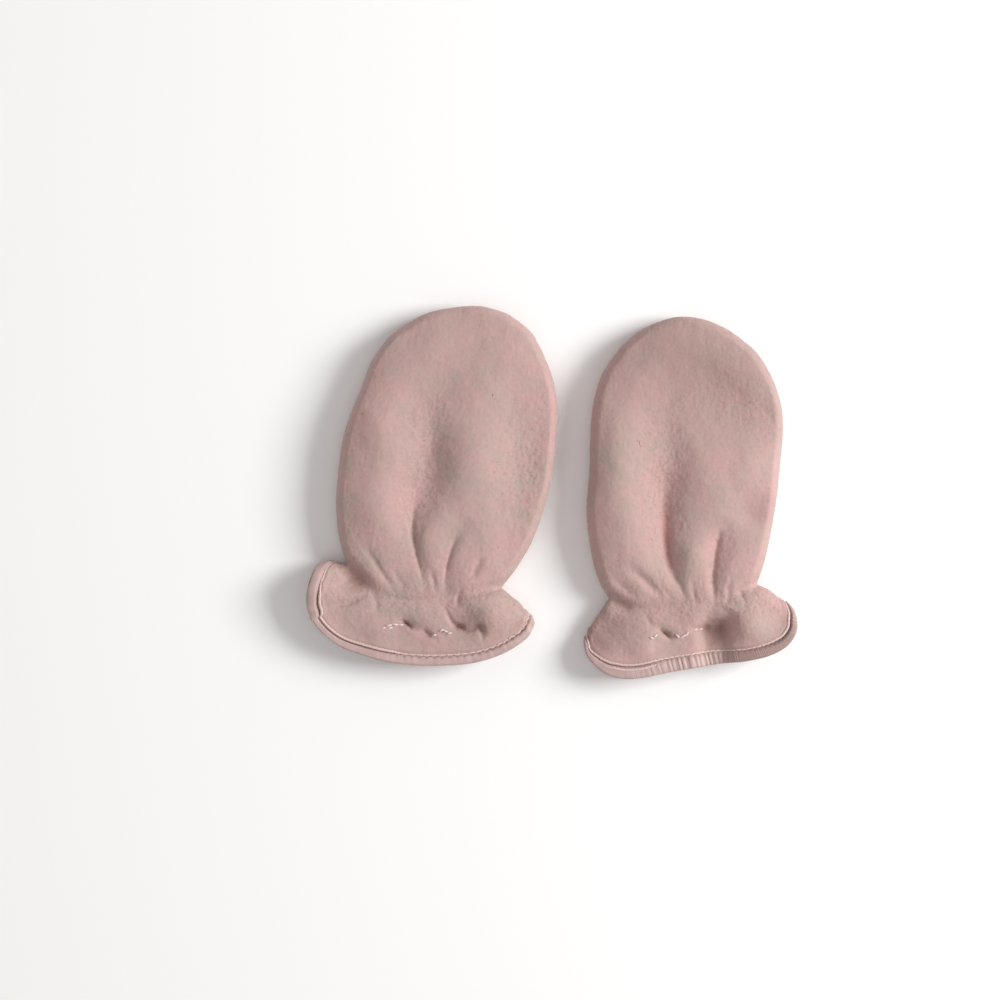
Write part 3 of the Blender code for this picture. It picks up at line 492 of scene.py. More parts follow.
def turned(vectors, angles):
    """Plan vectors turned anticlockwise."""
    c, s = np.cos(angles), np.sin(angles)
    x, y = vectors[..., 0], vectors[..., 1]
    return np.stack([x * c - y * s, x * s + y * c], axis=-1)


def angle_between(a, b):
    return math.atan2(a[0] * b[1] - a[1] * b[0], a[0] * b[0] + a[1] * b[1])


def spread(count, start_weights, end_weights):
    """Rising shares from 0 to 1, closer together at the weighted ends."""
    weights = np.ones(count - 1)
    weights[: len(start_weights)] = start_weights
    weights[count - 1 - len(end_weights) :] = end_weights[::-1]
    return np.concatenate([[0], np.cumsum(weights)]) / weights.sum()


def nearest_piece(places, line):
    start, step = line[:-1], np.diff(line, axis=0)
    offset = places[:, None, :] - start
    share = np.clip((offset * step).sum(-1) / (step * step).sum(-1), 0, 1)
    gap = np.linalg.norm(offset - share[..., None] * step, axis=-1)
    near = gap.argmin(-1)[:, None]
    cross = step[:, 0] * offset[..., 1] - step[:, 1] * offset[..., 0]
    found = [np.take_along_axis(values, near, -1)[:, 0] for values in (gap, share, cross)]
    return found[0], near[:, 0], found[1], found[2]


def distance_to(places, line):
    """Each place's distance to a polyline, the nearest piece and the share of it, and the side."""
    flat = places.reshape(-1, 2)
    parts = [nearest_piece(flat[i : i + CHUNK], line) for i in range(0, len(flat), CHUNK)]
    return [np.concatenate(found).reshape(places.shape[:-1]) for found in zip(*parts)]


class Plan:
    """A mitten seen from above.

    u runs across, 0 to 1. v runs from -1 at the panels' hem edge over the strip to 0, and on to
    1 at the tip.
    """

    def __init__(self, mitten):
        self.rim = smooth_curve(mitten.hem)
        self.corners = mitten.corners
        self.ends = [
            unit(np.subtract(mitten.cuff_left[0], mitten.hem[0])),
            unit(np.subtract(mitten.cuff_right[0], mitten.hem[-1])),
        ]
        rim_normals = self.rim_normals(np.array([0.0, 1.0]))
        self.turns = [angle_between(n, e) for n, e in zip(rim_normals, self.ends)]
        reach = BAND_REACH + STRIP
        starts = [self.rim[0] + reach * self.ends[0], self.rim[-1] + reach * self.ends[1]]
        self.cuffs = [
            smooth_curve([starts[0], *mitten.cuff_left]),
            smooth_curve([starts[1], *mitten.cuff_right]),
        ]
        self.bodies = [smooth_curve(mitten.body_left), smooth_curve(mitten.body_right)]
        self.tip = smooth_curve(mitten.tip)
        corners = [self.rim[0] - reach * self.ends[0], self.rim[-1] - reach * self.ends[1]]
        left = [corners[0][None], self.cuffs[0], self.bodies[0][1:]]
        right = [self.bodies[1][-2::-1], self.cuffs[1][-2::-1], corners[1][None]]
        self.seam = np.vstack([*left, self.tip[1:], *right])

    def rim_normals(self, u):
        ahead = along(self.rim, np.minimum(u + DIRECTION_STEP, 1))
        behind = along(self.rim, np.maximum(u - DIRECTION_STEP, 0))
        return turned(unit(ahead - behind), math.pi / 2)

    def inward(self, u):
        """The way from the hem into the panel, in line with the side edges at both ends."""
        angle = self.turns[0] * (1 - ease(u / STRIP_TURN))
        angle = angle + self.turns[1] * (1 - ease((1 - u) / STRIP_TURN))
        return turned(self.rim_normals(u), angle)

    def round_off(self, u):
        """How far the hem edge draws in near its ends, to round the corners."""
        length = lengths_along(self.rim)[-1]
        drawn = 0
        for radius, away in zip(self.corners, (u * length, (1 - u) * length)):
            left = np.clip(radius - away, 0, radius)
            drawn = drawn + radius - np.sqrt(radius**2 - left**2)
        return drawn

    def strip(self, u, distance):
        """Places this far in from the panels' hem edge."""
        drawn = self.round_off(u) * (1 - distance / STRIP)
        return along(self.rim, u) + (BAND_REACH + distance + drawn)[..., None] * self.inward(u)

    def side(self, index, v):
        """Places up the left or the right side: its cuff and then its body."""
        cuff = along(self.cuffs[index], v / NOTCH_SHARE)
        body = along(self.bodies[index], (v - NOTCH_SHARE) / (1 - NOTCH_SHARE))
        return np.where((v < NOTCH_SHARE)[..., None], cuff, body)

    def place(self, u, v):
        """Places between the two sides, bowed out at the hem and at the tip."""
        inner = np.clip(v, 0, 1)
        across = u[..., None]
        left, right = self.side(0, inner), self.side(1, inner)
        hem = self.strip(u, STRIP)
        hem_ends = self.strip(np.array([0.0, 1.0]), STRIP)
        hem_bow = hem - (1 - across) * hem_ends[0] - across * hem_ends[1]
        tip_bow = along(self.tip, u) - (1 - across) * self.tip[0] - across * self.tip[-1]
        near_hem = ((1 - inner) ** HEM_POWER)[..., None]
        near_tip = (inner**TIP_POWER)[..., None]
        body = (1 - across) * left + across * right + near_hem * hem_bow + near_tip * tip_bow
        edge = self.strip(u, 0)
        into = np.clip(1 + v, 0, 1)[..., None]
        return np.where((v < 0)[..., None], edge + (hem - edge) * into, body)

    def to_seam(self, places):
        return distance_to(places, self.seam)[0]


# Heights

def fold_depth(places, rows):
    """How far a fold sinks: its depth and its widths left and right change along its path."""
    path = smooth_curve(rows)
    reach = FOLD_WIDTHS * path[:, 3:].max()
    low, high = path[:, :2].min(axis=0) - reach, path[:, :2].max(axis=0) + reach
    near = ((places > low) & (places < high)).all(axis=-1)
    gap, step, share, side = distance_to(places[near], path[:, :2])
    sizes = path[:-1, 2:][step] + np.diff(path[:, 2:], axis=0)[step] * share[..., None]
    depth, left, right = np.moveaxis(sizes, -1, 0)
    sunk = np.zeros(places.shape[:-1])
    sunk[near] = np.maximum(depth, 0) * bell(gap, np.where(side < 0, left, right))
    return sunk


def column_of(table, at, name):
    """One column of a table, read along its first."""
    rows = smooth_curve(table)
    return np.interp(at, rows[:, 0], rows[:, table[0]._fields.index(name)])


def roll(share):
    """A quarter circle from 0 at the seam to 1."""
    return np.sqrt(1 - (1 - np.clip(share, 0, 1)) ** 2)


def back_height(mitten, plan, places):
    """The back's height, and how deep its folds are there."""
    y = places[..., 1]
    height = column_of(CROWNS, y, "height")
    for mound in mitten.mounds:
        away = np.hypot(places[..., 0] - mound.x, y - mound.y)
        height = height + mound.height * bell(away, mound.radius)
    main = sum(fold_depth(places, rows) for rows in mitten.folds)
    fine = sum(fold_depth(places, rows) for rows in mitten.creases)
    over = height - main - LOWEST_TOP
    height = LOWEST_TOP + (over + np.sqrt(over**2 + LOWEST_EASE**2)) / 2
    seam = SEAM_HEIGHT + SEAM_JOIN / 2
    on_left = ease((GENTLE_CROSS - places[..., 0]) / (2 * GENTLE_CROSS))
    share = GENTLE_RIGHT + (GENTLE_LEFT - GENTLE_RIGHT) * on_left
    share = GENTLE_CUFF + (share - GENTLE_CUFF) * ease((y - HAND_FROM) / HAND_EASE)
    tightest = ((1 - share) * (height - seam)) ** 2 / CLOTH_BEND
    rounding = column_of(CROWNS, y, "rounding")
    rounding = np.minimum(rounding * mitten.edge_share, tightest)
    from_seam = plan.to_seam(places)
    gentle = 1 - (1 - np.clip(from_seam / GENTLE_REACH, 0, 1)) ** 2
    rolled = (1 - share) * roll(from_seam / rounding) + share * gentle
    over_hand = CUFF_HOLLOW + (1 - CUFF_HOLLOW) * ease((y - HOLLOW_FROM) / HOLLOW_EASE)
    hollow = (HOLLOW_SHARE * main + fine) * over_hand
    return seam + (height - fine * rolled - seam) * rolled, hollow


def palm_height(plan, places, beyond_strip):
    """The palm's height, and how deep its flutes are there."""
    base = BAND_REACH * (1 - ease(beyond_strip / HEM_EASE))
    flutes = sum(fold_depth(places, rows) for rows in PALM_FLUTES)
    seam = SEAM_HEIGHT - SEAM_JOIN / 2
    return seam + (base + flutes - seam) * roll(plan.to_seam(places) / PALM_ROLL), flutes


# Panels

def edge_normals(plan, places, normals):
    """Level normals, square to the plan's outline, along the two sides and the tip."""
    for column, sign in ((0, 1), (-1, -1)):
        run = np.gradient(places[:, column, :2], axis=0)
        run[: STRIP_ROWS // 2] = plan.ends[column]
        normals[:, column, :2] = turned(unit(run), sign * math.pi / 2)
        normals[:, column, 2] = 0
    run = unit(np.gradient(places[-1, :, :2], axis=0))
    normals[-1, :, :2] = turned(run, math.pi / 2)
    normals[-1, :, 2] = 0


def wall_normals(plan, places, u, up):
    """Unit normals of the outer surface, smoothed, and square to the strip along the hem."""
    across = np.gradient(places, axis=1)
    ahead = np.gradient(places, axis=0)
    normals = unit(np.cross(across, ahead)) * up
    inward = np.concatenate([plan.inward(u), np.zeros((len(u), 1))], axis=1)
    along_hem = across[1].copy()
    along_hem[0] = (0, 0, 1)
    along_hem[-1] = (0, 0, -1)
    square = unit(np.cross(along_hem, inward))
    square[1:-1] *= up
    for _ in range(NORMAL_PASSES):
        edge_normals(plan, places, normals)
        normals[0] = normals[1] = square
        inner = normals[1:-1, 1:-1]
        near = normals[:-2, 1:-1] + normals[2:, 1:-1] + normals[1:-1, :-2] + normals[1:-1, 2:]
        normals[1:-1, 1:-1] = unit(2 * inner + near)
    edge_normals(plan, places, normals)
    normals[0] = normals[1] = square
    return normals


def cloth_thickness(beyond_strip):
    """Thinner where the stitching presses the hem, full from a little further in."""
    return HEM_CLOTH + (CLOTH - HEM_CLOTH) * ease(beyond_strip / HEM_EASE)


# u is each column's and up is 1 for the back and -1 for the palm. The lengths are taken along the
# cloth: from the hem, from the nearest edge and along the hem.
Panel = namedtuple("Panel", "plan u smooth normals hollow inner up from_hem from_seam arc")


def panel_grid(plan, columns, rows):
    """A panel's columns, its places in the plan and how far each lies beyond the strip."""
    strip = np.linspace(-1, 0, STRIP_ROWS, endpoint=False)
    body = spread(rows - STRIP_ROWS, HEM_WEIGHTS, EDGE_WEIGHTS)
    u, v = np.meshgrid(spread(columns, EDGE_WEIGHTS, EDGE_WEIGHTS), np.concatenate([strip, body]))
    places = plan.place(u, v)
    beyond = np.linalg.norm(places - places[STRIP_ROWS], axis=-1)
    beyond[:STRIP_ROWS] = 0
    return u[0], places, beyond


def panel_surfaces(plan, u, places, beyond, height, hollow, up):
    """A panel's smooth outer surface on the fine grid and its inner one on the coarser grid."""
    height[:STRIP_ROWS] = height[STRIP_ROWS]
    smooth = np.dstack([places, height])
    normals = wall_normals(plan, smooth, u, up)
    coarse = smooth[::INNER_STEP, ::INNER_STEP]
    thickness = cloth_thickness(beyond[::INNER_STEP, ::INNER_STEP])[..., None]
    inner = coarse - thickness * wall_normals(plan, coarse, u[::INNER_STEP], up)
    from_hem = lengths_along(smooth)
    across = np.moveaxis(lengths_along(np.moveaxis(smooth, 1, 0)), 0, 1)
    from_seam = np.minimum(across, across[:, -1:] - across)
    from_seam = np.minimum(from_seam, from_hem[-1] - from_hem)
    arc = lengths_along(smooth[0])
    return Panel(plan, u, smooth, normals, hollow, inner, up, from_hem, from_seam, arc)


def back_surfaces(mitten, plan):
    u, places, beyond = panel_grid(plan, BACK_COLUMNS, BACK_ROWS)
    return panel_surfaces(plan, u, places, beyond, *back_height(mitten, plan, places), 1)


def palm_surfaces(plan):
    u, places, beyond = panel_grid(plan, PALM_COLUMNS, PALM_ROWS)
    return panel_surfaces(plan, u, places, beyond, *palm_height(plan, places, beyond), -1)


# Relief of the fleece: soft lumps, tufts and the felted nap, each a size and a depth. It starts
# beside the band and is weaker along the side seam.
RELIEF = ((13.0, 0.30), (5.0, 0.08))
NAP_RELIEF = ((2.0, 0.026), (0.95, 0.03))
RELIEF_START = -0.5
RELIEF_EASE = 2.5
RELIEF_AT_SEAM = 0.3
RELIEF_SEAM_EASE = 5.0
NOISE_SHIFT = (37.1, 11.3, 5.7)
# The nap has pilled in the hollows, round the wrist and along the sides, and there its curls get
# painted shade: how much, and where
PILLED = 1.6
PILLED_LEAST = 0.12
PILLED_HOLLOW = (0.8, 1.5)
PILLED_WRIST = (0.5, -5.0, 13.0)
PILLED_SIDES = (0.4, 12.0)

# The needle's pits and the gap that they lie in, between the band and its cord, which are also
# painted darker as shade
PIT_FROM_BAND = 0.1
PIT_WIDTH = 0.22
PIT_DEPTH = 0.7
PIT_REACH = 0.34
GAP_DEPTH = 0.15
PALM_PITS = 0.4
COVER_TURN = 0.06


def noise_over(points, size, seed):
    """Smooth noise with features of this size, about -1 to 1."""
    shift = Vector((seed * NOISE_SHIFT[0], seed * NOISE_SHIFT[1], size * NOISE_SHIFT[2]))
    values = [noise.noise(Vector(point) + shift) for point in points.reshape(-1, 3) / size]
    return 2 * np.array(values).reshape(points.shape[:-1])


def look_at(mitten, u, name):
    """One of the hem's looks along it."""
    table = np.array(mitten.hem_looks)
    return np.interp(u, table[:, 0], table[:, HemLook._fields.index(name)])


def cover_of(mitten, panel):
    """How far the band covers each column of a panel. The palm's side meets the back's."""
    cover = look_at(mitten, panel.u, "cover")
    if panel.up > 0:
        return cover
    first = 1 - ease(panel.u / COVER_TURN)
    last = 1 - ease((1 - panel.u) / COVER_TURN)
    return first * cover[0] + last * cover[-1] + (1 - first - last) * BAND_COVER


def needle_pits(mitten, panel):
    """Small pits where the needle thread goes down between the band and its cord."""
    on_back = panel.up > 0
    depth = look_at(mitten, panel.u, "pits") if on_back else PALM_PITS
    gap = GAP_DEPTH * look_at(mitten, panel.u, "cord") ** 2 if on_back else 0
    phase = (panel.arc / mitten.pitch) % 1 - 0.5
    past_band = panel.from_hem - cover_of(mitten, panel) - PIT_FROM_BAND
    return (gap + PIT_DEPTH * depth * bell(phase, PIT_WIDTH)) * bell(past_band, PIT_REACH)


def pilling_and_shade(panel):
    """0 to 1, how much the nap has pilled, and how much painted shade its curls get."""
    strength, depth = PILLED_HOLLOW
    share = PILLED_LEAST + strength * ease(panel.hollow / depth)
    strength, middle, reach = PILLED_WRIST
    share = share + strength * bell(panel.smooth[..., 1] - middle, reach)
    strength, reach = PILLED_SIDES
    return np.clip(share + strength * (1 - ease(panel.from_seam / reach)), 0, 1)


def fleece(mitten, panel):
    """The panel's outer surface with its nap, its pulled-in seam and its hem's groove."""
    seed = mitten.seed + panel.up
    rise = sum(depth * noise_over(panel.smooth, size, seed) for size, depth in RELIEF)
    nap = sum(depth * noise_over(panel.smooth, size, seed) for size, depth in NAP_RELIEF)
    rise = rise + nap * (1 + PILLED * pilling_and_shade(panel))
    past_band = panel.from_hem - cover_of(mitten, panel)
    at_seam = RELIEF_AT_SEAM + (1 - RELIEF_AT_SEAM) * ease(panel.from_seam / RELIEF_SEAM_EASE)
    rise = rise * ease((past_band - RELIEF_START) / RELIEF_EASE) * at_seam
    for (depth, past, width), sign in ((HEM_BULGE, 1), (HEM_GROOVE, -1)):
        rise = rise + sign * depth * bell(past_band - past, width)
    pits = needle_pits(mitten, panel)
    clear = ease((panel.from_hem - BAND_COVER) / SEAM_PINCH_EASE)
    rise = rise - pits - SEAM_PINCH * (1 - ease(panel.from_seam / SEAM_PINCH_REACH)) * clear
    outer = panel.smooth + rise[..., None] * panel.normals
    if panel.up < 0:
        lowest = panel.smooth[..., 2].min() + UNDERSIDE_LIFT
        outer[..., 2] = np.maximum(outer[..., 2], lowest)
    return outer, pits


# Meshes

def grid_faces(grid):
    """Four-sided faces between the neighbouring points of a grid."""
    quads = [grid[:-1, :-1], grid[:-1, 1:], grid[1:, 1:], grid[1:, :-1]]
    return np.stack(quads, axis=-1).reshape(-1, 4).tolist()


def rim_of(grid):
    """The points round a grid's edge, in order."""
    sides = [grid[0, :-1], grid[:-1, -1], grid[-1, :0:-1], grid[:0:-1, 0]]
    return np.concatenate(sides).tolist()


def shell_faces(fine, coarse):
    """Faces of a closed wall between a fine grid and a coarser one, the fine one facing up."""
    top = np.arange(fine[..., 0].size).reshape(fine.shape[:2])
    under = top.size + np.arange(coarse[..., 0].size).reshape(coarse.shape[:2])
    faces = grid_faces(top) + [face[::-1] for face in grid_faces(under)]
    top_rim, under_rim = rim_of(top), rim_of(under)
    half = INNER_STEP // 2
    for i, here in enumerate(under_rim):
        there = under_rim[(i + 1) % len(under_rim)]
        f = [top_rim[(INNER_STEP * i + k) % len(top_rim)] for k in range(INNER_STEP + 1)]
        faces += [[here, f[k + 1], f[k]] for k in range(half)]
        faces.append([here, there, f[half]])
        faces += [[there, f[k + 1], f[k]] for k in range(half, INNER_STEP)]
    return faces


def in_row_frame(mitten, points):
    """Points of a mitten's own frame in the pair's, in metres."""
    flat = points.reshape(-1, 3)
    plan = turned(flat[:, :2], -math.radians(mitten.turn)) + mitten.place
    return np.column_stack([plan, flat[:, 2]]) * MM


def put_in_scene(name, data):
    made = bpy.data.objects.new(name, data)
    bpy.context.scene.collection.objects.link(made)
    return made


def piece(name, mitten, points, faces, material):
    """A piece from points in a mitten's own frame, riding on the part's only body."""
    mesh = bpy.data.meshes.new(name)
    mesh.from_pydata(in_row_frame(mitten, points).tolist(), [], faces)
    mesh.shade_smooth()
    mesh.set_sharp_from_angle(angle=math.radians(SHARP_ANGLE))
    mesh.materials.append(material)
    made = put_in_scene(name, mesh)
    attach(made, "root")
    return made


def paint(made, name, values):
    """A number at each point, which the material reads by name."""
    attribute = made.data.attributes.new(name, "FLOAT", "POINT")
    attribute.data.foreach_set("value", values.astype(np.float32))


def painted_shade_of(mitten, panel):
    """How much painted shade darkens the fleece: its spots lie on the back alone."""
    if panel.up < 0:
        return 0 * panel.hollow
    x, y = panel.smooth[..., 0], panel.smooth[..., 1]
    spots = [spot.share * bell(np.hypot(x - spot.x, y - spot.y), spot.radius) for spot in mitten.wear]
    return sum(spots)


def panel_piece(name, mitten, panel, outer, pits, material):
    faces = shell_faces(outer, panel.inner)
    if panel.up < 0:
        faces = [face[::-1] for face in faces]
    points = np.concatenate([outer.reshape(-1, 3), panel.inner.reshape(-1, 3)])
    made = piece(name, mitten, points, faces, material)
    layers = {
        "hollow": panel.hollow,
        "pit": pits,
        "pilling_and_shade": pilling_and_shade(panel),
        "wear": painted_shade_of(mitten, panel),
    }
    for layer, values in layers.items():
        paint(made, layer, np.append(values.ravel(), np.zeros(panel.inner[..., 0].size)))
    return made


def loop_faces(count, ring, closed):
    """Faces of a tube of this many rings, closed on itself or capped."""
    rings = np.arange(count * ring).reshape(count, ring)
    after = np.roll(rings, -1, axis=0) if closed else rings[1:]
    here = rings if closed else rings[:-1]
    quads = np.stack([here, np.roll(here, -1, axis=1), np.roll(after, -1, axis=1), after], axis=-1)
    faces = quads.reshape(-1, 4).tolist()
    if not closed:
        faces += [rings[0, ::-1].tolist(), rings[-1].tolist()]
    return faces


def tube_piece(name, mitten, rings, material):
    """A tube of thread all round the hem, which nowhere sinks below the underside."""
    points = np.stack(rings, axis=1)
    points[..., 2] = np.maximum(points[..., 2], 0)
    faces = loop_faces(*points.shape[:2], closed=True)
    return piece(name, mitten, points, faces, material)


# The overlocked band

BAND_SECTIONS = 1500
FLAP_STEPS = 9
NOSE_STEPS = 9
NOSE_POWER = 0.72
# The band's edges are tucked down on the cloth, over this share of its width
TUCK_SHARE = 0.28
TUCKED_LIFT = 0.2 * SEAM_GAP
UNDER_LIFT = 0.1 * SEAM_GAP
PUFF_POWER = 0.8
# Its look shows from here, and the palm's half of it is plain
HEM_SHOWN = 0.03
PALM_LOOKS = {
    "cord": 0.5, "second": 0, "sway": 0.1, "bars": 0.5, "ribs": 0.5, "pits": 0.3, "shade": 0,
}
# Wound threads lie side by side as fine ribs, and the stitches cross them as bars. Both wander and
# differ in strength along the hem.
THREAD_PITCH = 0.7
THREAD_DEPTH = 0.1
THREAD_POWER = 0.6
THREAD_LEVEL = 0.62
THREAD_SPANS = 160
THREAD_WANDER = 0.16
STRENGTH_SPANS = 110
STRENGTH = (0.6, 1.3)
BAR_DEPTH = 0.19
BAR_SLANT = 0.22
BAR_LEVEL = 0.55
BAR_SWING = 0.9
BAR_WANDER = 0.7
# The pits reach this many rings in and dip this deep. Grooves get painted shade, and proud threads
# a painted highlight, by these three.
PIT_RINGS = 2
PIT_DIP = 0.3
RIB_SHADE = 1.5
BAR_SHADE = 1.6
PIT_SHADE = 2.2
# The band's nose and inside get painted shade, from a few rings before the nose
NOSE_SHADE = 0.45
SHADE_LEAD = 3
# A cord that lies low is thinner, and narrows between its loops
CORD_RADIUS = 0.46
CORD_THINNEST = 0.7
CORD_NECK = 0.6
CORD_SINK = 0.5
CORD_SECTIONS = 1400
CORD_SIDES = 8
CORD_TWIST = 2.4
CORD_RELIEF = 0.14
CORD_SEED = 20
ZIGZAG_PITCH = 2.2
ZIGZAG_SPANS = 120
ZIGZAG_WANDER = 0.14
ZIGZAG_STRENGTH = (0.5, 1.2)
SECOND_LIFT = 0.45
CORD_FROM_BAND = (0.2, 0.6)
SECOND_FROM_BAND = -0.95

# What the band and its cords follow, at each place along the hem
Hem = namedtuple(
    "Hem",
    "middle out up flap flap_up inner_flap inner_up cord cord_up second second_up reach puff u side",
)


def surface_at(panel, distances):
    """A panel's points and normals, these distances along each of its columns from the hem."""
    found = []
    for values in (panel.smooth, panel.normals):
        columns = [
            [np.interp(at, panel.from_hem[:, c], values[:, c, k]) for k in range(3)]
            for c, at in enumerate(distances)
        ]
        found.append(np.moveaxis(np.array(columns), 1, -1))
    return found[0], unit(found[1])


def hem_of(mitten, panel):
    """Per column of a panel: what the band and its cord lie on."""
    u = panel.u
    cover = cover_of(mitten, panel)
    shown = ease(u / HEM_SHOWN) * ease((1 - u) / HEM_SHOWN) if panel.up > 0 else 0 * u
    share = np.linspace(1, 0, FLAP_STEPS)
    flap, flap_up = surface_at(panel, cover[:, None] * share)
    inner, inner_up = surface_at(panel, np.full_like(u, BAND_COVER)[:, None] * share)
    past_band = CORD_FROM_BAND[0] + CORD_FROM_BAND[1] * look_at(mitten, u, "cord")
    cord, cord_up = surface_at(panel, (cover + past_band)[:, None])
    second, second_up = surface_at(panel, (cover + SECOND_FROM_BAND)[:, None])
    middle = flap[:, -1] - HEM_CLOTH / 2 * flap_up[:, -1]
    middle[[0, -1], 2] = SEAM_HEIGHT
    return Hem(
        middle=middle,
        out=np.column_stack([-panel.plan.inward(u), np.zeros_like(u)]),
        up=flap_up[:, -1],
        flap=flap,
        flap_up=flap_up,
        inner_flap=inner - HEM_CLOTH * inner_up,
        inner_up=inner_up,
        cord=cord[:, 0],
        cord_up=cord_up[:, 0],
        second=second[:, 0],
        second_up=second_up[:, 0],
        reach=shown * look_at(mitten, u, "reach"),
        puff=shown * look_at(mitten, u, "puff"),
        u=u,
        side=np.full_like(u, panel.up),
    )


def hem_loop(mitten, back, palm, count):
    """The hem all round the mouth, evenly spaced: out along the back's, home along the palm's."""
    out, home = hem_of(mitten, back), hem_of(mitten, palm)
    joined = [np.concatenate([a, b[-2:0:-1], a[:1]]) for a, b in zip(out, home)]
    length = lengths_along(joined[0])
    at = np.linspace(0, length[-1], count, endpoint=False)
    even = []
    for values in joined:
        flat = values.reshape(len(values), -1)
        resampled = np.stack([np.interp(at, length, column) for column in flat.T], axis=-1)
        even.append(resampled.reshape((count, *values.shape[1:])))
    return Hem(*even), at


def look_round(mitten, hem, name):
    """The band's look all round the mouth."""
    return np.where(hem.side > 0, look_at(mitten, hem.u, name), PALM_LOOKS[name])


def wavering(at, values):
    """Values that are spread evenly along the hem, blended between."""
    return np.interp(at, np.linspace(0, at[-1], len(values)), values)


def thread_ribs(mitten, hem, at):
    """How far the wound threads and the stitch bars stand proud, as shares of their depths."""
    rng = np.random.default_rng(mitten.seed)
    wander = wavering(at, rng.normal(0, THREAD_WANDER, THREAD_SPANS))
    strength = wavering(at, rng.uniform(*STRENGTH, STRENGTH_SPANS))
    ribs = np.abs(np.sin(math.pi * (at / THREAD_PITCH + wander))) ** THREAD_POWER - THREAD_LEVEL
    swing = BAR_SWING * np.cos(2 * math.pi * (at / mitten.pitch + BAR_WANDER * wander))
    bars = np.clip(BAR_LEVEL + swing, 0, 1) - BAR_LEVEL
    ribs = ribs * look_round(mitten, hem, "ribs") * strength
    return ribs, bars * look_round(mitten, hem, "bars") * strength


def slanted(values, at, shift):
    """Values round the hem, moved along it."""
    total = at[-1] + at[1]
    return np.interp((at + shift) % total, np.append(at, total), np.append(values, values[0]))


def squared(value):
    """A sine or cosine that makes a circle squarer."""
    return math.copysign(abs(value) ** NOSE_POWER, value)


def band_rings(hem, at, ribs, bars, pits):
    """The band's section: over the cloth, round the nose, back inside, and home under itself."""
    shares = np.linspace(1, 0, FLAP_STEPS)
    tucks = ease((1 - shares) / TUCK_SHARE)
    lifts = TUCKED_LIFT + (BAND_REACH - TUCKED_LIFT) * tucks
    rings = []
    for j, share in enumerate(shares):
        rise = slanted(ribs + bars, at, BAR_SLANT * share * BAND_COVER) * tucks[j] + lifts[j]
        rise = rise + hem.puff * math.sin(math.pi * (1 - share)) ** PUFF_POWER
        rise = rise - PIT_DIP * pits * bell(j, PIT_RINGS)
        rings.append(hem.flap[:, j] + rise[:, None] * hem.flap_up[:, j])
    for angle in np.linspace(math.pi / 2, -math.pi / 2, NOSE_STEPS + 2)[1:-1]:
        outward, upward = squared(math.cos(angle)), squared(math.sin(angle))
        proud = ribs + bars * (0.5 + 0.5 * upward)
        reach = (BAND_REACH + hem.reach + proud) * outward
        rise = (HEM_CLOTH / 2 + BAND_REACH + proud) * upward
        rings.append(hem.middle + reach[:, None] * hem.out + rise[:, None] * hem.up)
    for j in reversed(range(FLAP_STEPS)):
        rise = lifts[j] + ribs * tucks[j]
        rings.append(hem.inner_flap[:, j] - rise[:, None] * hem.inner_up[:, j])
    under = (0, FLAP_STEPS // 2, FLAP_STEPS - 1)
    rings += [hem.inner_flap[:, j] - UNDER_LIFT * hem.inner_up[:, j] for j in under]
    rings += [hem.flap[:, j] + UNDER_LIFT * hem.flap_up[:, j] for j in under[::-1]]
    return rings


def band_piece(mitten, back, palm, material):
    hem, at = hem_loop(mitten, back, palm, BAND_SECTIONS)
    ribs, bars = thread_ribs(mitten, hem, at)
    pits = look_round(mitten, hem, "pits") * bell((at / mitten.pitch) % 1 - 0.5, PIT_WIDTH)
    rings = band_rings(hem, at, THREAD_DEPTH * ribs, BAR_DEPTH * bars, pits)
    made = tube_piece(f"{mitten.name}_hem_band", mitten, rings, material)
    ring = np.arange(len(rings))
    # The band's relief, which the material paints paler where proud and darker where sunk
    relief = (RIB_SHADE * ribs + BAR_SHADE * bars)[:, None]
    relief = relief - PIT_SHADE * np.outer(pits, bell(ring, PIT_RINGS))
    paint(made, "groove", relief.ravel())
    # Painted shade on the band's nose and inside, and where the band lies in shade
    painted_band_shade = ease((ring - FLAP_STEPS + SHADE_LEAD) / NOSE_STEPS) * (ring < NOSE_STEPS + 2 * FLAP_STEPS)
    shade = look_round(mitten, hem, "shade")
    paint(made, "painted_band_shade", np.maximum(NOSE_SHADE * painted_band_shade, shade[:, None]).ravel())
    return made


def cord_piece(mitten, back, palm, name, material):
    """The looped threads that lie along the band's inner edge like a fine cord.

    The second one lies on the band itself, beside the first.
    """
    hem, at = hem_loop(mitten, back, palm, CORD_SECTIONS)
    first = name == "cord"
    path, up = (hem.cord, hem.cord_up) if first else (hem.second, hem.second_up)
    height = look_round(mitten, hem, name)
    sway = look_round(mitten, hem, "sway") if first else 0 * height
    along_cord = unit(np.roll(path, -1, axis=0) - np.roll(path, 1, axis=0))
    across = unit(np.cross(along_cord, up))
    loops = np.abs(np.sin(math.pi * at / mitten.pitch)) ** 0.5
    radius = CORD_RADIUS * (CORD_THINNEST + (1 - CORD_THINNEST) * height)
    radius = radius * (1 - CORD_NECK * (1 - height) * (1 - loops))
    lift = CORD_RADIUS * (height - CORD_SINK) + (0 if first else SECOND_LIFT)
    rng = np.random.default_rng(mitten.seed + CORD_SEED)
    phase = at / ZIGZAG_PITCH + wavering(at, rng.normal(0, ZIGZAG_WANDER, ZIGZAG_SPANS))
    strength = wavering(at, rng.uniform(*ZIGZAG_STRENGTH, ZIGZAG_SPANS))
    aside = sway * np.sin(2 * math.pi * phase) * strength
    centre = path + lift[:, None] * up + aside[:, None] * across
    rings = []
    for angle in np.linspace(0, 2 * math.pi, CORD_SIDES, endpoint=False):
        twist = 1 + CORD_RELIEF * np.cos(2 * (angle - 2 * math.pi * at / CORD_TWIST))
        way = math.cos(angle) * across + math.sin(angle) * up
        rings.append(centre + (radius * twist)[:, None] * way)
    return tube_piece(f"{mitten.name}_hem_{name}", mitten, rings, material)


# Threads, lint and nap

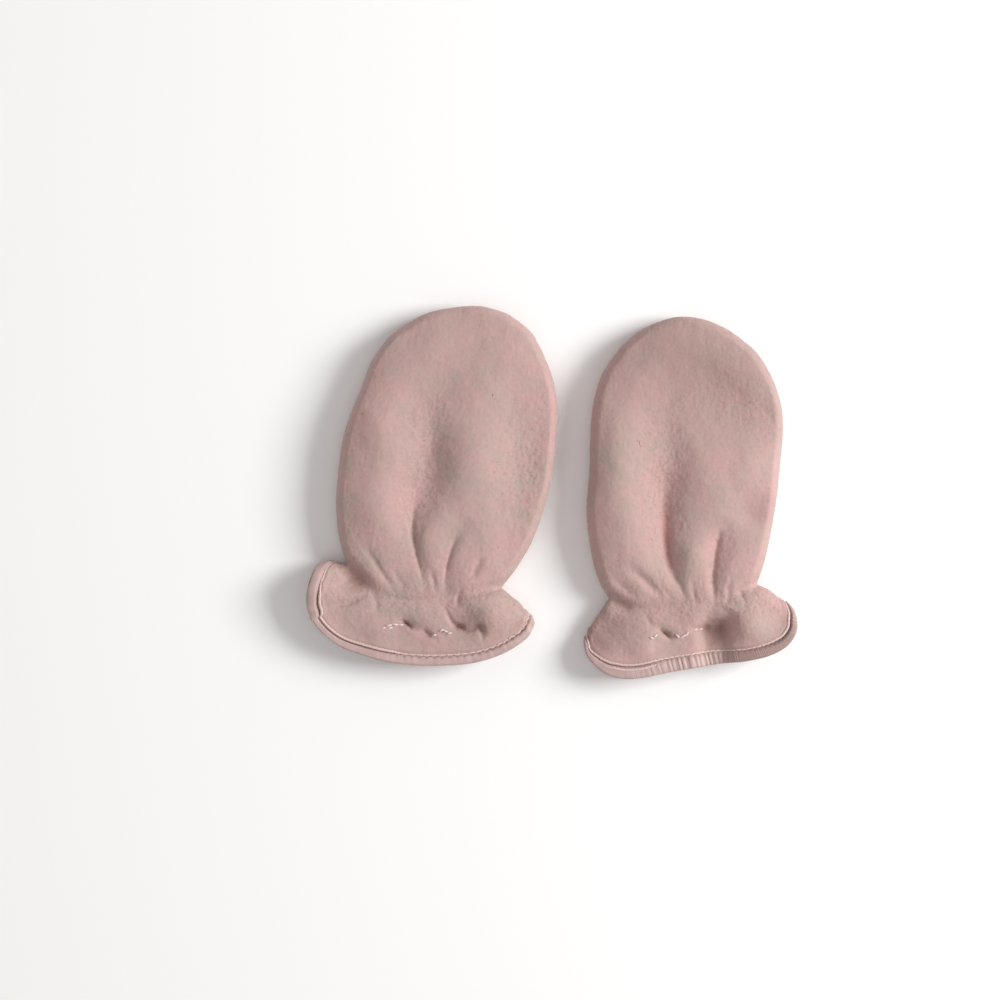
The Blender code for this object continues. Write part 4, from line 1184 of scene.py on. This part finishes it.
STITCH_RADIUS = 0.32
STITCH_STEPS = 9
THREAD_SIDES = 6
STITCH_SINK = 0.4
STITCH_RISE = 0.45
STITCH_BURIED = 0.3
STITCH_POWER = 0.6
THREAD_END = 0.55
LINT_RADIUS = 0.07
LINT_STEPS = 6
LINT_BEND = 0.25
LINT_LIFT = 0.03


class Skin:
    """Finds the point of a panel's surface at a place of the plan."""

    def __init__(self, outer, normals):
        self.points = outer.reshape(-1, 3)
        self.normals = normals.reshape(-1, 3)
        self.tree = kdtree.KDTree(len(self.points))
        for i, (x, y, _) in enumerate(self.points):
            self.tree.insert((x, y, 0), i)
        self.tree.balance()

    def at(self, places):
        nearest = [self.tree.find((x, y, 0))[1] for x, y in places]
        return self.points[nearest], self.normals[nearest]


def thread(path, up, radius):
    """A thread along a path, thinner at its two ends."""
    run = unit(np.gradient(path, axis=0))
    across = unit(np.cross(run, up))
    over = np.cross(across, run)
    share = np.linspace(0, 1, len(path))
    size = radius * (THREAD_END + (1 - THREAD_END) * np.sin(math.pi * share) ** 0.5)
    rings = []
    for angle in np.linspace(0, 2 * math.pi, THREAD_SIDES, endpoint=False):
        way = math.cos(angle) * across + math.sin(angle) * over
        rings.append(path + size[:, None] * way)
    return np.stack(rings, axis=1)


def joined(tubes):
    """Points and faces of many capped tubes as one mesh."""
    points, faces, start = [], [], 0
    for tube in tubes:
        count, ring = tube.shape[:2]
        faces += [[start + i for i in face] for face in loop_faces(count, ring, closed=False)]
        points.append(tube.reshape(-1, 3))
        start += count * ring
    return np.concatenate(points), faces


def stitch_piece(mitten, skin, material):
    """The threads of the zigzag that holds the elastic, most of them sunk in the nap."""
    share = np.linspace(0, 1, STITCH_STEPS)
    tubes = []
    for stitch in mitten.stitches:
        run = (stitch.to_x - stitch.x, stitch.to_y - stitch.y)
        places = (stitch.x, stitch.y) + np.outer(share, run)
        height = skin.at(places)[0][:, 2]
        level = np.linspace(height[0], height[-1], STITCH_STEPS)
        base = height + stitch.lift * np.maximum(level - height, 0)
        arch = (STITCH_RISE * stitch.lift + STITCH_SINK) * np.sin(math.pi * share) ** STITCH_POWER
        sunk = STITCH_SINK + STITCH_BURIED * (1 - stitch.lift)
        path = np.column_stack([places, base + arch - sunk])
        tubes.append(thread(path, (0, 0, 1), STITCH_RADIUS))
    points, faces = joined(tubes)
    return piece(f"{mitten.name}_elastic_stitches", mitten, points, faces, material)


def lint_piece(mitten, skin, material):
    """Dark bits of lint caught in the nap."""
    share = np.linspace(0, 1, LINT_STEPS)
    tubes = []
    for bit in mitten.lint:
        way = np.array((math.cos(bit.angle), math.sin(bit.angle)))
        aside = np.array((-way[1], way[0])) * LINT_BEND * bit.length
        places = (bit.x, bit.y) + np.outer(share * bit.length, way)
        places = places + np.outer(np.sin(math.pi * share), aside)
        point, normal = skin.at(places)
        path = np.column_stack([places, point[:, 2] + LINT_LIFT])
        tubes.append(thread(path, normal[0], LINT_RADIUS))
    points, faces = joined(tubes)
    return piece(f"{mitten.name}_lint", mitten, points, faces, material)


NAP_LENGTH = (0.5, 1.3)
NAP_RADIUS = 0.03
NAP_RISE = 0.12
NAP_ARCH = (0.3, 1.3)
NAP_END = (-0.6, 0.8)
NAP_BEND = 0.2
NAP_ROOT = 0.05
NAP_TAPER = 0.8
NAP_FROM_BAND = 1.2
NAP_SEED = 40
NAP_COUNTS = {1: 7000, -1: 1400}
# The flat underside has no loose fibres, and none reaches the floor
NAP_CLEAR = 0.3
NAP_LOWEST = 0.02


def nap_piece(mitten, panel, outer, name, material):
    """Loose fibres that lie over the felted nap, each a thin bent needle."""
    rng = np.random.default_rng(mitten.seed + NAP_SEED + panel.up)
    count = NAP_COUNTS[panel.up]
    ahead = outer[1:, :-1] - outer[:-1, :-1]
    across = outer[:-1, 1:] - outer[:-1, :-1]
    area = np.linalg.norm(np.cross(across, ahead), axis=-1)
    free = panel.from_hem[:-1, :-1] > cover_of(mitten, panel)[:-1] + NAP_FROM_BAND
    if panel.up < 0:
        free &= outer[:-1, :-1, 2] > NAP_CLEAR
    chance = (area * free).ravel()
    cells = rng.choice(chance.size, count, p=chance / chance.sum())
    row, column = np.divmod(cells, area.shape[1])
    a, b = rng.random((2, count, 1))
    start = outer[row, column] + a * across[row, column] + b * ahead[row, column]
    up = panel.normals[row, column]
    way = rng.normal(size=(count, 3))
    way = unit(way - (way * up).sum(-1, keepdims=True) * up)
    side = np.cross(up, way)
    length = rng.uniform(*NAP_LENGTH, (count, 1))
    bend = rng.normal(0, NAP_BEND, (count, 1)) * length
    rise = rng.uniform(*NAP_ARCH, (count, 1)) * NAP_RISE
    middle = start + way * length / 2 + side * bend + up * rise
    end = start + way * length + up * rng.uniform(*NAP_END, (count, 1)) * rise
    start = start - up * NAP_ROOT
    points = []
    for place, radius in ((start, NAP_RADIUS), (middle, NAP_TAPER * NAP_RADIUS)):
        for angle in np.linspace(0, 2 * math.pi, 3, endpoint=False):
            points.append(place + radius * (math.cos(angle) * side + math.sin(angle) * up))
    points = np.stack([*points, end], axis=1)
    points[..., 2] += np.maximum(NAP_LOWEST - points[..., 2].min(axis=1, keepdims=True), 0)
    base = points.shape[1] * np.arange(count)[:, None]
    faces = (base + (2, 1, 0)).tolist()
    for i in range(3):
        j = (i + 1) % 3
        faces += (base + (i, j, 3 + j, 3 + i)).tolist() + (base + (3 + i, 3 + j, 6)).tolist()
    return piece(name, mitten, points, faces, material)


def elastic_piece(mitten, panel, material):
    """The ribbed elastic under the back panel, drawn up with it."""
    low = mitten.elastic_from_hem - ELASTIC_WIDTH / 2
    across = slice(*(int(np.abs(panel.u - share).argmin()) for share in ELASTIC_SHARE))
    edges = np.linspace(0, 1, 2 * ELASTIC_RIBS + 1)
    distances = np.tile(low + ELASTIC_WIDTH * edges, (len(panel.u), 1))
    surface, normals = [values[across] for values in surface_at(panel, distances)]
    rib = ELASTIC_RIB_DEPTH * np.cos(2 * math.pi * ELASTIC_RIBS * edges)[None, :, None]
    top = surface - (CLOTH + SEAM_GAP - rib) * normals
    under = surface - (CLOTH + SEAM_GAP + ELASTIC_THICKNESS + rib) * normals
    rings = np.concatenate([top, under[:, ::-1]], axis=1)
    faces = loop_faces(len(rings), rings.shape[1], closed=False)
    return piece(f"{mitten.name}_elastic", mitten, rings, faces, material)


# Materials

# The fibres lie a little slantwise
STREAK_TURN = 0.5
# Where most of a noise's range lies
MOST = (0.3, 0.7)


class Nodes:
    """Short hand for building a material's nodes."""

    def __init__(self, name):
        self.material = bpy.data.materials.new(name)
        self.material.use_nodes = True
        self.tree = self.material.node_tree
        self.shader = self.tree.nodes["Principled BSDF"]
        self.coords = self.tree.nodes.new("ShaderNodeTexCoord").outputs["Object"]

    def fill(self, socket, value):
        """An input gets a value, or another node's output."""
        if isinstance(value, bpy.types.NodeSocket):
            self.tree.links.new(value, socket)
        else:
            socket.default_value = value

    def add(self, kind, values):
        node = self.tree.nodes.new(kind)
        for key, value in values.items():
            self.fill(node.inputs[key], value)
        return node

    def noise(self, size_mm, detail=3, roughness=0.6, stretch=None):
        values = {"Scale": 1 / (size_mm * MM), "Detail": detail, "Roughness": roughness}
        source = self.coords
        if stretch:
            mapping = {"Vector": source, "Scale": stretch, "Rotation": (0, 0, STREAK_TURN)}
            source = self.add("ShaderNodeMapping", mapping).outputs["Vector"]
        return self.add("ShaderNodeTexNoise", {"Vector": source, **values}).outputs["Fac"]

    def attribute(self, name):
        node = self.tree.nodes.new("ShaderNodeAttribute")
        node.attribute_name = name
        return node.outputs["Fac"]

    def remap(self, value, low, high, to_low=0, to_high=1):
        ends = {"From Min": low, "From Max": high, "To Min": to_low, "To Max": to_high}
        return self.add("ShaderNodeMapRange", {"Value": value, **ends}).outputs["Result"]

    def mix(self, share, a, b):
        """Colour a towards colour b; each is an output or a colour."""
        node = self.tree.nodes.new("ShaderNodeMix")
        node.data_type = "RGBA"
        ends = [socket for socket in node.inputs if socket.type == "RGBA"]
        for socket, value in zip(ends, (a, b)):
            self.fill(socket, (*value, 1) if isinstance(value, tuple) else value)
        self.fill(node.inputs["Factor"], share)
        return [socket for socket in node.outputs if socket.type == "RGBA"][0]

    def math(self, operation, a, b):
        node = self.add("ShaderNodeMath", {0: a, 1: b})
        node.operation = operation
        return node.outputs["Value"]

    def lay(self, color, value, share, over):
        """A colour with another laid over it, as strongly as the value times the share."""
        return self.mix(self.math("MULTIPLY", value, share), color, over)

    def bump(self, height, strength, depth_mm, below=None):
        values = {"Height": height, "Strength": strength, "Distance": depth_mm * MM}
        if below is not None:
            values["Normal"] = below
        return self.add("ShaderNodeBump", values).outputs["Normal"]

    def finish(self, color, roughness, normal=None, sheen=0, sheen_roughness=0.5, tint=(1, 1, 1)):
        values = {"Base Color": color, "Roughness": roughness, "Sheen Weight": sheen}
        values |= {"Sheen Roughness": sheen_roughness, "Sheen Tint": (*tint, 1)}
        if normal is not None:
            values["Normal"] = normal
        for key, value in values.items():
            self.fill(self.shader.inputs[key], value)
        return self.material


FLEECE = (0.50, 0.342, 0.318)
FLEECE_PINK = (0.555, 0.328, 0.320)
FLEECE_GREY = (0.455, 0.338, 0.304)
FLEECE_PALE = (0.66, 0.49, 0.46)
FLEECE_DARK = (0.33, 0.215, 0.195)
# The painted shade of deep creases
FLEECE_CREASE_SHADE = (0.45, 0.17, 0.165)
# The colour of the painted shade spots
FLEECE_PAINTED_SHADE = (0.27, 0.165, 0.148)
NAP_PALE = (0.68, 0.52, 0.49)
LINT = (0.07, 0.05, 0.05)


# A layer of colour: the size, detail, roughness and stretch of the noise that places it, where in
# the noise's range it starts and ends to come in, how much of it there is, and the colour
Tone = namedtuple("Tone", "size detail roughness stretch start end share color")
FLEECE_TONES = (
    Tone(22, 2, 0.6, None, 0.38, 0.62, 1, FLEECE),
    Tone(9, 3, 0.6, None, 0.4, 0.62, 0.62, FLEECE_PINK),
    Tone(1.3, 4, 0.7, None, 0.42, 0.68, 0.11, FLEECE_PALE),
    Tone(1.5, 4, 0.65, (1, 1.6, 1), 0.48, 0.72, 0.1, FLEECE_DARK),
)
# Painted shade in the hollows: over this range of depths they are laid darker and redder
CREASE_SHADE_SHARE = 0.5
HOLLOW_DEPTHS = (0.6, 3.6)
HOLLOW_POWER = 2.8
# Painted shade in the needle pits and the gap: over this range of depths they darken
PIT_SHADE_DEPTHS = (0.1, 0.6)
# Pilled fibres curl along a noise's middle values, in patches, and are painted darker as the shade
# between their clumps
CURL_SIZE = 2.6
CURL_WIDTH = 0.06
CURL_PATCH_SIZE = 2.0
CURL_PATCHES = (0.46, 0.54)
CURL_SHADE = 0.4
# Each bump has a strength and a depth in mm
CURL_BUMP = (0.5, 0.15)
FIBRE_NOISE = (0.5, 6, 0.75, (1, 2.2, 1))
FIBRE_BUMP = (0.18, 0.14)
FUZZ_NOISE = (0.24, 4, 0.7)
FUZZ_BUMP = (0.15, 0.06)
FLEECE_ROUGHNESS = (0.86, 0.98)
# How much sheen, how rough it is and its tint
FLEECE_SHEEN = (0.14, 0.5, (1.0, 0.93, 0.91))


def curls_of(n):
    """The pilled fibres' squiggles, 0 to 1, which get painted shade."""
    off_middle = n.math("SUBTRACT", n.noise(CURL_SIZE, 2), 0.5)
    lines = n.remap(n.math("ABSOLUTE", off_middle, 0), 0, CURL_WIDTH, 1, 0)
    patches = n.remap(n.noise(CURL_PATCH_SIZE, 2), *CURL_PATCHES)
    return n.math("MULTIPLY", n.math("MULTIPLY", lines, patches), n.attribute("pilling_and_shade"))


def fleece_material():
    n = Nodes("fleece")
    color = FLEECE_GREY
    for tone in FLEECE_TONES:
        spots = n.noise(tone.size, tone.detail, tone.roughness, tone.stretch)
        color = n.lay(color, n.remap(spots, tone.start, tone.end), tone.share, tone.color)
    # Painted shade: the deeper the hollow, the darker and redder the fleece
    hollow = n.math("POWER", n.remap(n.attribute("hollow"), *HOLLOW_DEPTHS), HOLLOW_POWER)
    color = n.lay(color, hollow, CREASE_SHADE_SHARE, FLEECE_CREASE_SHADE)
    curls = curls_of(n)
    # Painted shade between the pilled clumps
    color = n.lay(color, curls, CURL_SHADE, FLEECE_DARK)
    # Painted shade: darker spots where the fleece lies in shade, and towards the fingertips
    color = n.mix(n.attribute("wear"), color, FLEECE_PAINTED_SHADE)
    # Painted shade in the needle pits and the gap beside the band
    color = n.mix(n.remap(n.attribute("pit"), *PIT_SHADE_DEPTHS), color, FLEECE_DARK)
    fibres = n.noise(*FIBRE_NOISE)
    normal = n.bump(n.noise(*FUZZ_NOISE), *FUZZ_BUMP, n.bump(fibres, *FIBRE_BUMP))
    normal = n.bump(n.math("MULTIPLY", curls, -1), *CURL_BUMP, normal)
    return n.finish(color, n.remap(fibres, *MOST, *FLEECE_ROUGHNESS), normal, *FLEECE_SHEEN)


THREAD = (0.485, 0.335, 0.318)
# Pale thread for the mottling, and the painted highlight on proud threads
THREAD_MOTTLE_AND_HIGHLIGHT = (0.64, 0.47, 0.44)
# Painted shade in the band's grooves
THREAD_GROOVE_SHADE = (0.28, 0.17, 0.15)
# Painted shade on the band
THREAD_SHADE = (0.24, 0.147, 0.127)
CORD_PALE = (0.68, 0.51, 0.48)
STITCH_PALE = (0.76, 0.62, 0.59)


MOTTLE_SIZE = 3.0
MOTTLE_RANGE = (0.35, 0.65)
MOTTLE_SHARE = 0.5
# From how proud to how deep a groove is, the thread is painted paler as highlight or darker as
# shade, and how much
PROUD_RANGE = (0.1, 0.9)
PROUD_HIGHLIGHT_SHARE = 0.6
SUNK_RANGE = (-0.1, -1.1)
SUNK_SHADE_SHARE = 0.7
# How much painted shade the band gets
BAND_SHADE_SHARE = 0.7
STRAND_NOISE = (0.22, 4, 0.7)
STRAND_BUMP = (0.4, 0.06)
THREAD_ROUGHNESS = (0.5, 0.68)
THREAD_SHEEN = (0.2, 0.35, (1.0, 0.9, 0.88))


def thread_material(name, pale):
    """Thread with paler mottling. The band's own also gets painted highlights and shade from its
    relief, and painted shade on its nose, its inside and where it lies in shade.
    """
    n = Nodes(name)
    on_band = name == "hem_thread"
    mottle = n.remap(n.noise(MOTTLE_SIZE), *MOTTLE_RANGE)
    color = n.lay(THREAD if on_band else pale, mottle, MOTTLE_SHARE, pale)
    if on_band:
        relief = n.attribute("groove")
        # Painted highlight where the threads stand proud
        color = n.lay(color, n.remap(relief, *PROUD_RANGE), PROUD_HIGHLIGHT_SHARE, THREAD_MOTTLE_AND_HIGHLIGHT)
        # Painted shade on the band's nose, inside and shaded stretches
        color = n.lay(color, n.attribute("painted_band_shade"), BAND_SHADE_SHARE, THREAD_SHADE)
        # Painted shade in the grooves
        color = n.lay(color, n.remap(relief, *SUNK_RANGE), SUNK_SHADE_SHARE, THREAD_GROOVE_SHADE)
    strands = n.noise(*STRAND_NOISE)
    roughness = n.remap(strands, *MOST, *THREAD_ROUGHNESS)
    return n.finish(color, roughness, n.bump(strands, *STRAND_BUMP), *THREAD_SHEEN)


PLAIN_SIZE = 2.0
PLAIN_GRAIN = 1.0
PLAIN_ROUGHNESS = (0.9, 0.95)


def plain_material(name, color, other):
    n = Nodes(name)
    mottle = n.remap(n.noise(PLAIN_SIZE, 2), *MOTTLE_RANGE)
    roughness = n.remap(n.noise(PLAIN_GRAIN, 2), *MOST, *PLAIN_ROUGHNESS)
    return n.finish(n.mix(mottle, color, other), roughness)


ELASTIC = (0.70, 0.62, 0.58)
ELASTIC_PALE = (0.80, 0.74, 0.71)
ELASTIC_MOTTLE = 1.2
WEAVE_NOISE = (0.35, 3, 0.6, (1, 3, 1))
WEAVE_BUMP = (0.4, 0.08)
ELASTIC_ROUGHNESS = (0.6, 0.8)


def elastic_material():
    n = Nodes("elastic")
    mottle = n.remap(n.noise(ELASTIC_MOTTLE, 4), *MOTTLE_RANGE)
    weave = n.noise(*WEAVE_NOISE)
    roughness = n.remap(weave, *MOST, *ELASTIC_ROUGHNESS)
    color = n.mix(mottle, ELASTIC, ELASTIC_PALE)
    return n.finish(color, roughness, n.bump(weave, *WEAVE_BUMP))


FLOOR = (0.955, 0.955, 0.955)
FLOOR_PALE = (0.97, 0.97, 0.97)
FLOOR_SIZE = 300
FLOOR_GRAIN = 40
FLOOR_ROUGHNESS = (0.85, 0.95)


def floor_material():
    n = Nodes("floor")
    roughness = n.remap(n.noise(FLOOR_GRAIN, 2), *MOST, *FLOOR_ROUGHNESS)
    return n.finish(n.mix(n.noise(FLOOR_SIZE, 2), FLOOR, FLOOR_PALE), roughness)


# Stage

# The camera looks straight down from afar. It sees this width of a plane at this height.
VIEW_WIDTH = 350.0
VIEW_PLANE = 5.3
VIEW_CENTRE = (-17.93, -2.69)
CAMERA_DISTANCE = 1600.0
SENSOR = 36.0
FLOOR_HALF = 3.0
ROOM_COLOR = (1, 0.968, 0.956, 1)
ROOM_STRENGTH = 0.425
# Each light's name, place, size, power and colour
LIGHTS = (
    ("key", (1.35, 0.25, 0.92), 0.75, 28.3, (0.99, 1.0, 0.995)),
    ("top", (-0.2, -0.3, 1.4), 1.2, 2.5, (1, 1, 1)),
)


def make_camera():
    data = bpy.data.cameras.new("camera")
    data.sensor_width = SENSOR
    data.lens = SENSOR * CAMERA_DISTANCE / VIEW_WIDTH
    camera = put_in_scene("camera", data)
    camera.location = Vector((*VIEW_CENTRE, VIEW_PLANE + CAMERA_DISTANCE)) * MM
    bpy.context.scene.camera = camera


def area_light(name, place, size, power, color):
    """A soft square light that faces the middle of the pair."""
    data = bpy.data.lights.new(name, "AREA")
    data.size = size
    data.energy = power
    data.color = color
    light = put_in_scene(name, data)
    light.location = place
    light.rotation_euler = (-Vector(place)).to_track_quat("-Z", "Y").to_euler()


def make_stage():
    mesh = bpy.data.meshes.new("floor")
    corners = [(x * FLOOR_HALF, y * FLOOR_HALF, 0) for x, y in ((-1, -1), (1, -1), (1, 1), (-1, 1))]
    mesh.from_pydata(corners, [], [(0, 1, 2, 3)])
    mesh.materials.append(floor_material())
    floor = put_in_scene("floor", mesh)
    world = bpy.data.worlds.new("studio")
    world.use_nodes = True
    background = world.node_tree.nodes["Background"]
    background.inputs["Color"].default_value = ROOM_COLOR
    background.inputs["Strength"].default_value = ROOM_STRENGTH
    bpy.context.scene.world = world
    for light in LIGHTS:
        area_light(*light)
    bpy.context.scene.view_settings.view_transform = "Standard"


# The whole


def make_mitten(mitten, materials):
    plan = Plan(mitten)
    back = back_surfaces(mitten, plan)
    palm = palm_surfaces(plan)
    name = mitten.name
    outer, pits = fleece(mitten, back)
    palm_outer, palm_pits = fleece(mitten, palm)
    cloth, thread_look, pale = (materials[key] for key in ("fleece", "hem_thread", "cord"))
    back_piece = panel_piece(f"{name}_back_fleece", mitten, back, outer, pits, cloth)
    palm_piece = panel_piece(f"{name}_palm_fleece", mitten, palm, palm_outer, palm_pits, cloth)
    band = band_piece(mitten, back, palm, thread_look)
    cord = cord_piece(mitten, back, palm, "cord", pale)
    if max(look.second for look in mitten.hem_looks) > 0:
        cord_piece(mitten, back, palm, "second", pale)
    elastic = elastic_piece(mitten, back, materials["elastic"])
    skin = Skin(outer, back.normals)
    stitches = stitch_piece(mitten, skin, materials["stitch"])
    lint = lint_piece(mitten, skin, materials["lint"])
    back_nap = nap_piece(mitten, back, outer, f"{name}_back_nap", materials["nap"])
    palm_nap = nap_piece(mitten, palm, palm_outer, f"{name}_palm_nap", materials["nap"])
    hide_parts(f"{name}_back_panel")
    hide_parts(f"{name}_palm_panel")
    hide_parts(f"{name}_hem_binding")
    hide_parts(f"{name}_wrist_elastic")


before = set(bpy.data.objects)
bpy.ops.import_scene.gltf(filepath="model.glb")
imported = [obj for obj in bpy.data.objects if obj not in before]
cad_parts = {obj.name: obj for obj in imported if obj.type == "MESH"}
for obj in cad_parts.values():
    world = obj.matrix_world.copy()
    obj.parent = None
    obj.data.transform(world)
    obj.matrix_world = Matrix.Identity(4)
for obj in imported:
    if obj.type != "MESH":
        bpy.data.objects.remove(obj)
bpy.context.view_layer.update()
make_camera()
make_stage()
materials = {
    "fleece": fleece_material(),
    "hem_thread": thread_material("hem_thread", THREAD_MOTTLE_AND_HIGHLIGHT),
    "cord": thread_material("pale_thread", CORD_PALE),
    "stitch": thread_material("stitch_thread", STITCH_PALE),
    "nap": plain_material("nap", FLEECE_PALE, NAP_PALE),
    "lint": plain_material("lint", LINT, FLEECE_DARK),
    "elastic": elastic_material(),
}
for mitten in (LEFT, RIGHT):
    make_mitten(mitten, materials)
